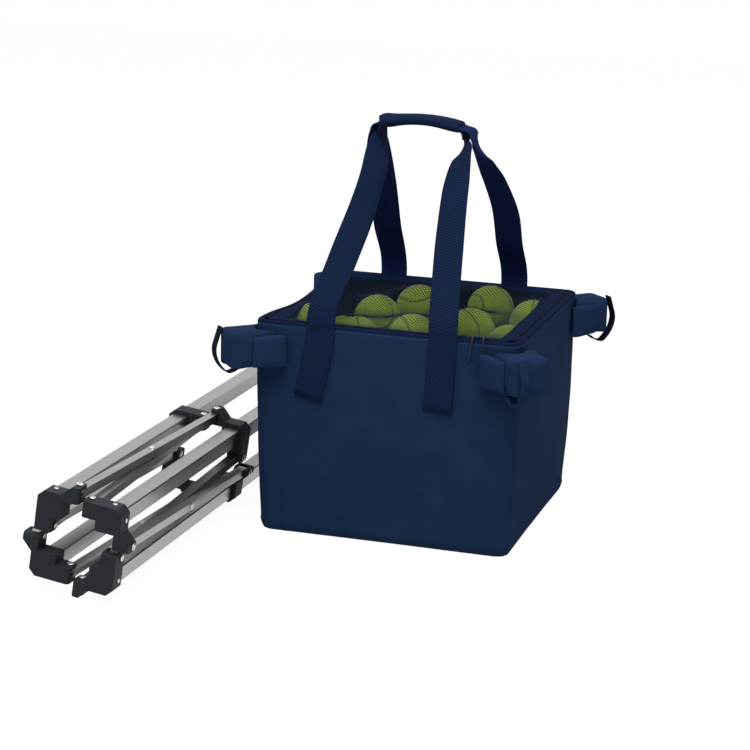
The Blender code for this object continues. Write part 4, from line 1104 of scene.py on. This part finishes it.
def build_rivets():
    """Steel heads on both ends of every pivot pin, and the screws that hold the brackets."""
    for corner_index, corner in enumerate(CORNERS):
        for slides in (False, True):
            points, faces = [], []
            depth = SLIDER_DEPTH if slides else PIVOT_DEPTH
            for toward in (1, -1):  # the side after the corner, and the one before it
                side_index = corner_index if toward > 0 else (corner_index - 1) % 4
                turn = Matrix.Rotation(math.radians(90 * side_index), 3, "Y")
                on_outer = (toward > 0) != slides
                layer = OUTER_RISE if on_outer else OUTER_RISE - LINK_LAYER
                x = toward * (ARM_PIVOT - HALF_SPACING)
                reach = LINK_LAYER / 2 + EAR + PIN_END
                for way in (1, -1):
                    place = turn @ Vector((x, depth, HALF_SPACING + layer + way * reach))
                    add_dome(points, faces, place, turn @ Vector((0, 0, way)), *RIVET_HEAD)
                if not slides:
                    out = HALF_SPACING + FITTING_HALF
                    place = turn @ Vector((-toward * HALF_SPACING, SCREW_DEPTH, out))
                    add_dome(points, faces, place, turn @ Vector((0, 0, 1)), *SCREW_HEAD)
            kind, body = ("slider", "runner_") if slides else ("bracket", "post_")
            make_piece(f"{kind}_rivets_{corner}", points, faces, "steel", body + corner,
                       slot="rivet_steel")


def dress_stand():
    """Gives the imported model's own rigid pieces their materials and soft edges."""
    looks = {
        "leg_": "aluminium", "outer_link_": "aluminium", "inner_link_": "aluminium",
        "top_bracket_": "moulding", "slider_": "moulding", "caster_fork_": "moulding",
        "caster_wheel_": "tyre", "caster_axle_": "steel", "centre_rivet_": "steel",
    }
    for name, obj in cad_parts.items():
        for start, look in looks.items():
            if name.startswith(start):
                obj.data.materials.clear()
                obj.data.materials.append(LOOKS[look])
                if look in ("moulding", "aluminium"):
                    modify(obj, "BEVEL", width=0.0007, segments=2, limit_method="ANGLE",
                           angle_limit=math.radians(35), harden_normals=True)


# Room, light and camera

def seen_directly(tree):
    """1 for the rays that show the background: the camera's, mirrored and passed through."""
    rays = tree.nodes.new("ShaderNodeLightPath").outputs
    mirrored = maths(tree, "MAXIMUM", rays["Is Glossy Ray"], rays["Is Transmission Ray"])
    return maths(tree, "MAXIMUM", rays["Is Camera Ray"], mirrored)


def build_floor():
    """A pale matt floor that fades into the white background where it is seen directly."""
    size = 6.0
    mesh = bpy.data.meshes.new("floor")
    corners = [(-size, -size, 0), (size, -size, 0), (size, size, 0), (-size, size, 0)]
    mesh.from_pydata(corners, [], [(0, 1, 2, 3)])
    material = bpy.data.materials.new("floor")
    material.use_nodes = True
    tree = material.node_tree
    tree.nodes.clear()
    matt = add_node(tree, "ShaderNodeBsdfDiffuse", {"Color": (0.60, 0.60, 0.60, 1)})
    glow = add_node(tree, "ShaderNodeEmission", {"Color": (1, 1, 1, 1), "Strength": 1.18})
    share = maths(tree, "MULTIPLY", seen_directly(tree), 0.80)
    mixed = add_node(tree, "ShaderNodeMixShader", {0: share, 1: matt.outputs[0], 2: glow.outputs[0]})
    add_node(tree, "ShaderNodeOutputMaterial", {"Surface": mixed.outputs[0]})
    mesh.materials.append(material)
    floor = add_object("floor", mesh)
    floor.location.z = -0.0005


def build_world():
    """A white background, and a softer fill light from all sides."""
    world = bpy.data.worlds.new("studio")
    world.use_nodes = True
    tree = world.node_tree
    tree.nodes.clear()
    white = add_node(tree, "ShaderNodeBackground", {"Color": (1, 1, 1, 1), "Strength": 1.0})
    fill = add_node(tree, "ShaderNodeBackground", {"Color": (0.93, 0.96, 1.0, 1), "Strength": 0.42})
    mixed = add_node(tree, "ShaderNodeMixShader", {
        0: seen_directly(tree), 1: fill.outputs[0], 2: white.outputs[0],
    })
    add_node(tree, "ShaderNodeOutputWorld", {"Surface": mixed.outputs[0]})
    bpy.context.scene.world = world


def build_lamps():
    """Large soft lamps that all face the cart."""
    for name, place, size, power in LAMPS:
        lamp = bpy.data.lights.new(name, "AREA")
        lamp.shape = "RECTANGLE"
        lamp.size, lamp.size_y = size
        lamp.energy = power
        obj = add_object(name, lamp)
        obj.location = place
        way = Vector(LAMP_TARGET) - Vector(place)
        obj.rotation_euler = way.to_track_quat("-Z", "Y").to_euler()


def build_camera():
    yaw, pitch, roll = (math.radians(angle) for angle in CAMERA_ANGLES)
    forward = Vector((
        -math.sin(yaw) * math.cos(pitch), math.cos(yaw) * math.cos(pitch), -math.sin(pitch),
    ))
    level = Vector((math.cos(yaw), math.sin(yaw), 0.0))
    up = level.cross(forward)
    right = level * math.cos(roll) + up * math.sin(roll)
    up = up * math.cos(roll) - level * math.sin(roll)
    data = bpy.data.cameras.new("camera")
    data.sensor_width = 36.0
    data.lens = CAMERA_LENS
    camera = add_object("camera", data)
    turn = Matrix((right, up, -forward)).transposed()
    camera.matrix_world = Matrix.Translation(CAMERA_PLACE) @ turn.to_4x4()
    bpy.context.scene.camera = camera


build_camera()
build_world()
build_floor()
build_lamps()
bpy.context.scene.view_settings.view_transform = "Standard"

dress_stand()
build_rivets()
build_walls()
build_rim()
build_balls()
build_border()
build_net()
build_hinge_tape()
build_handle(False, "front_web", "front_handle")
build_handle(True, "back_web_painted_shade", "back_handle")
build_grip()
build_pockets()
build_zip_pulls()
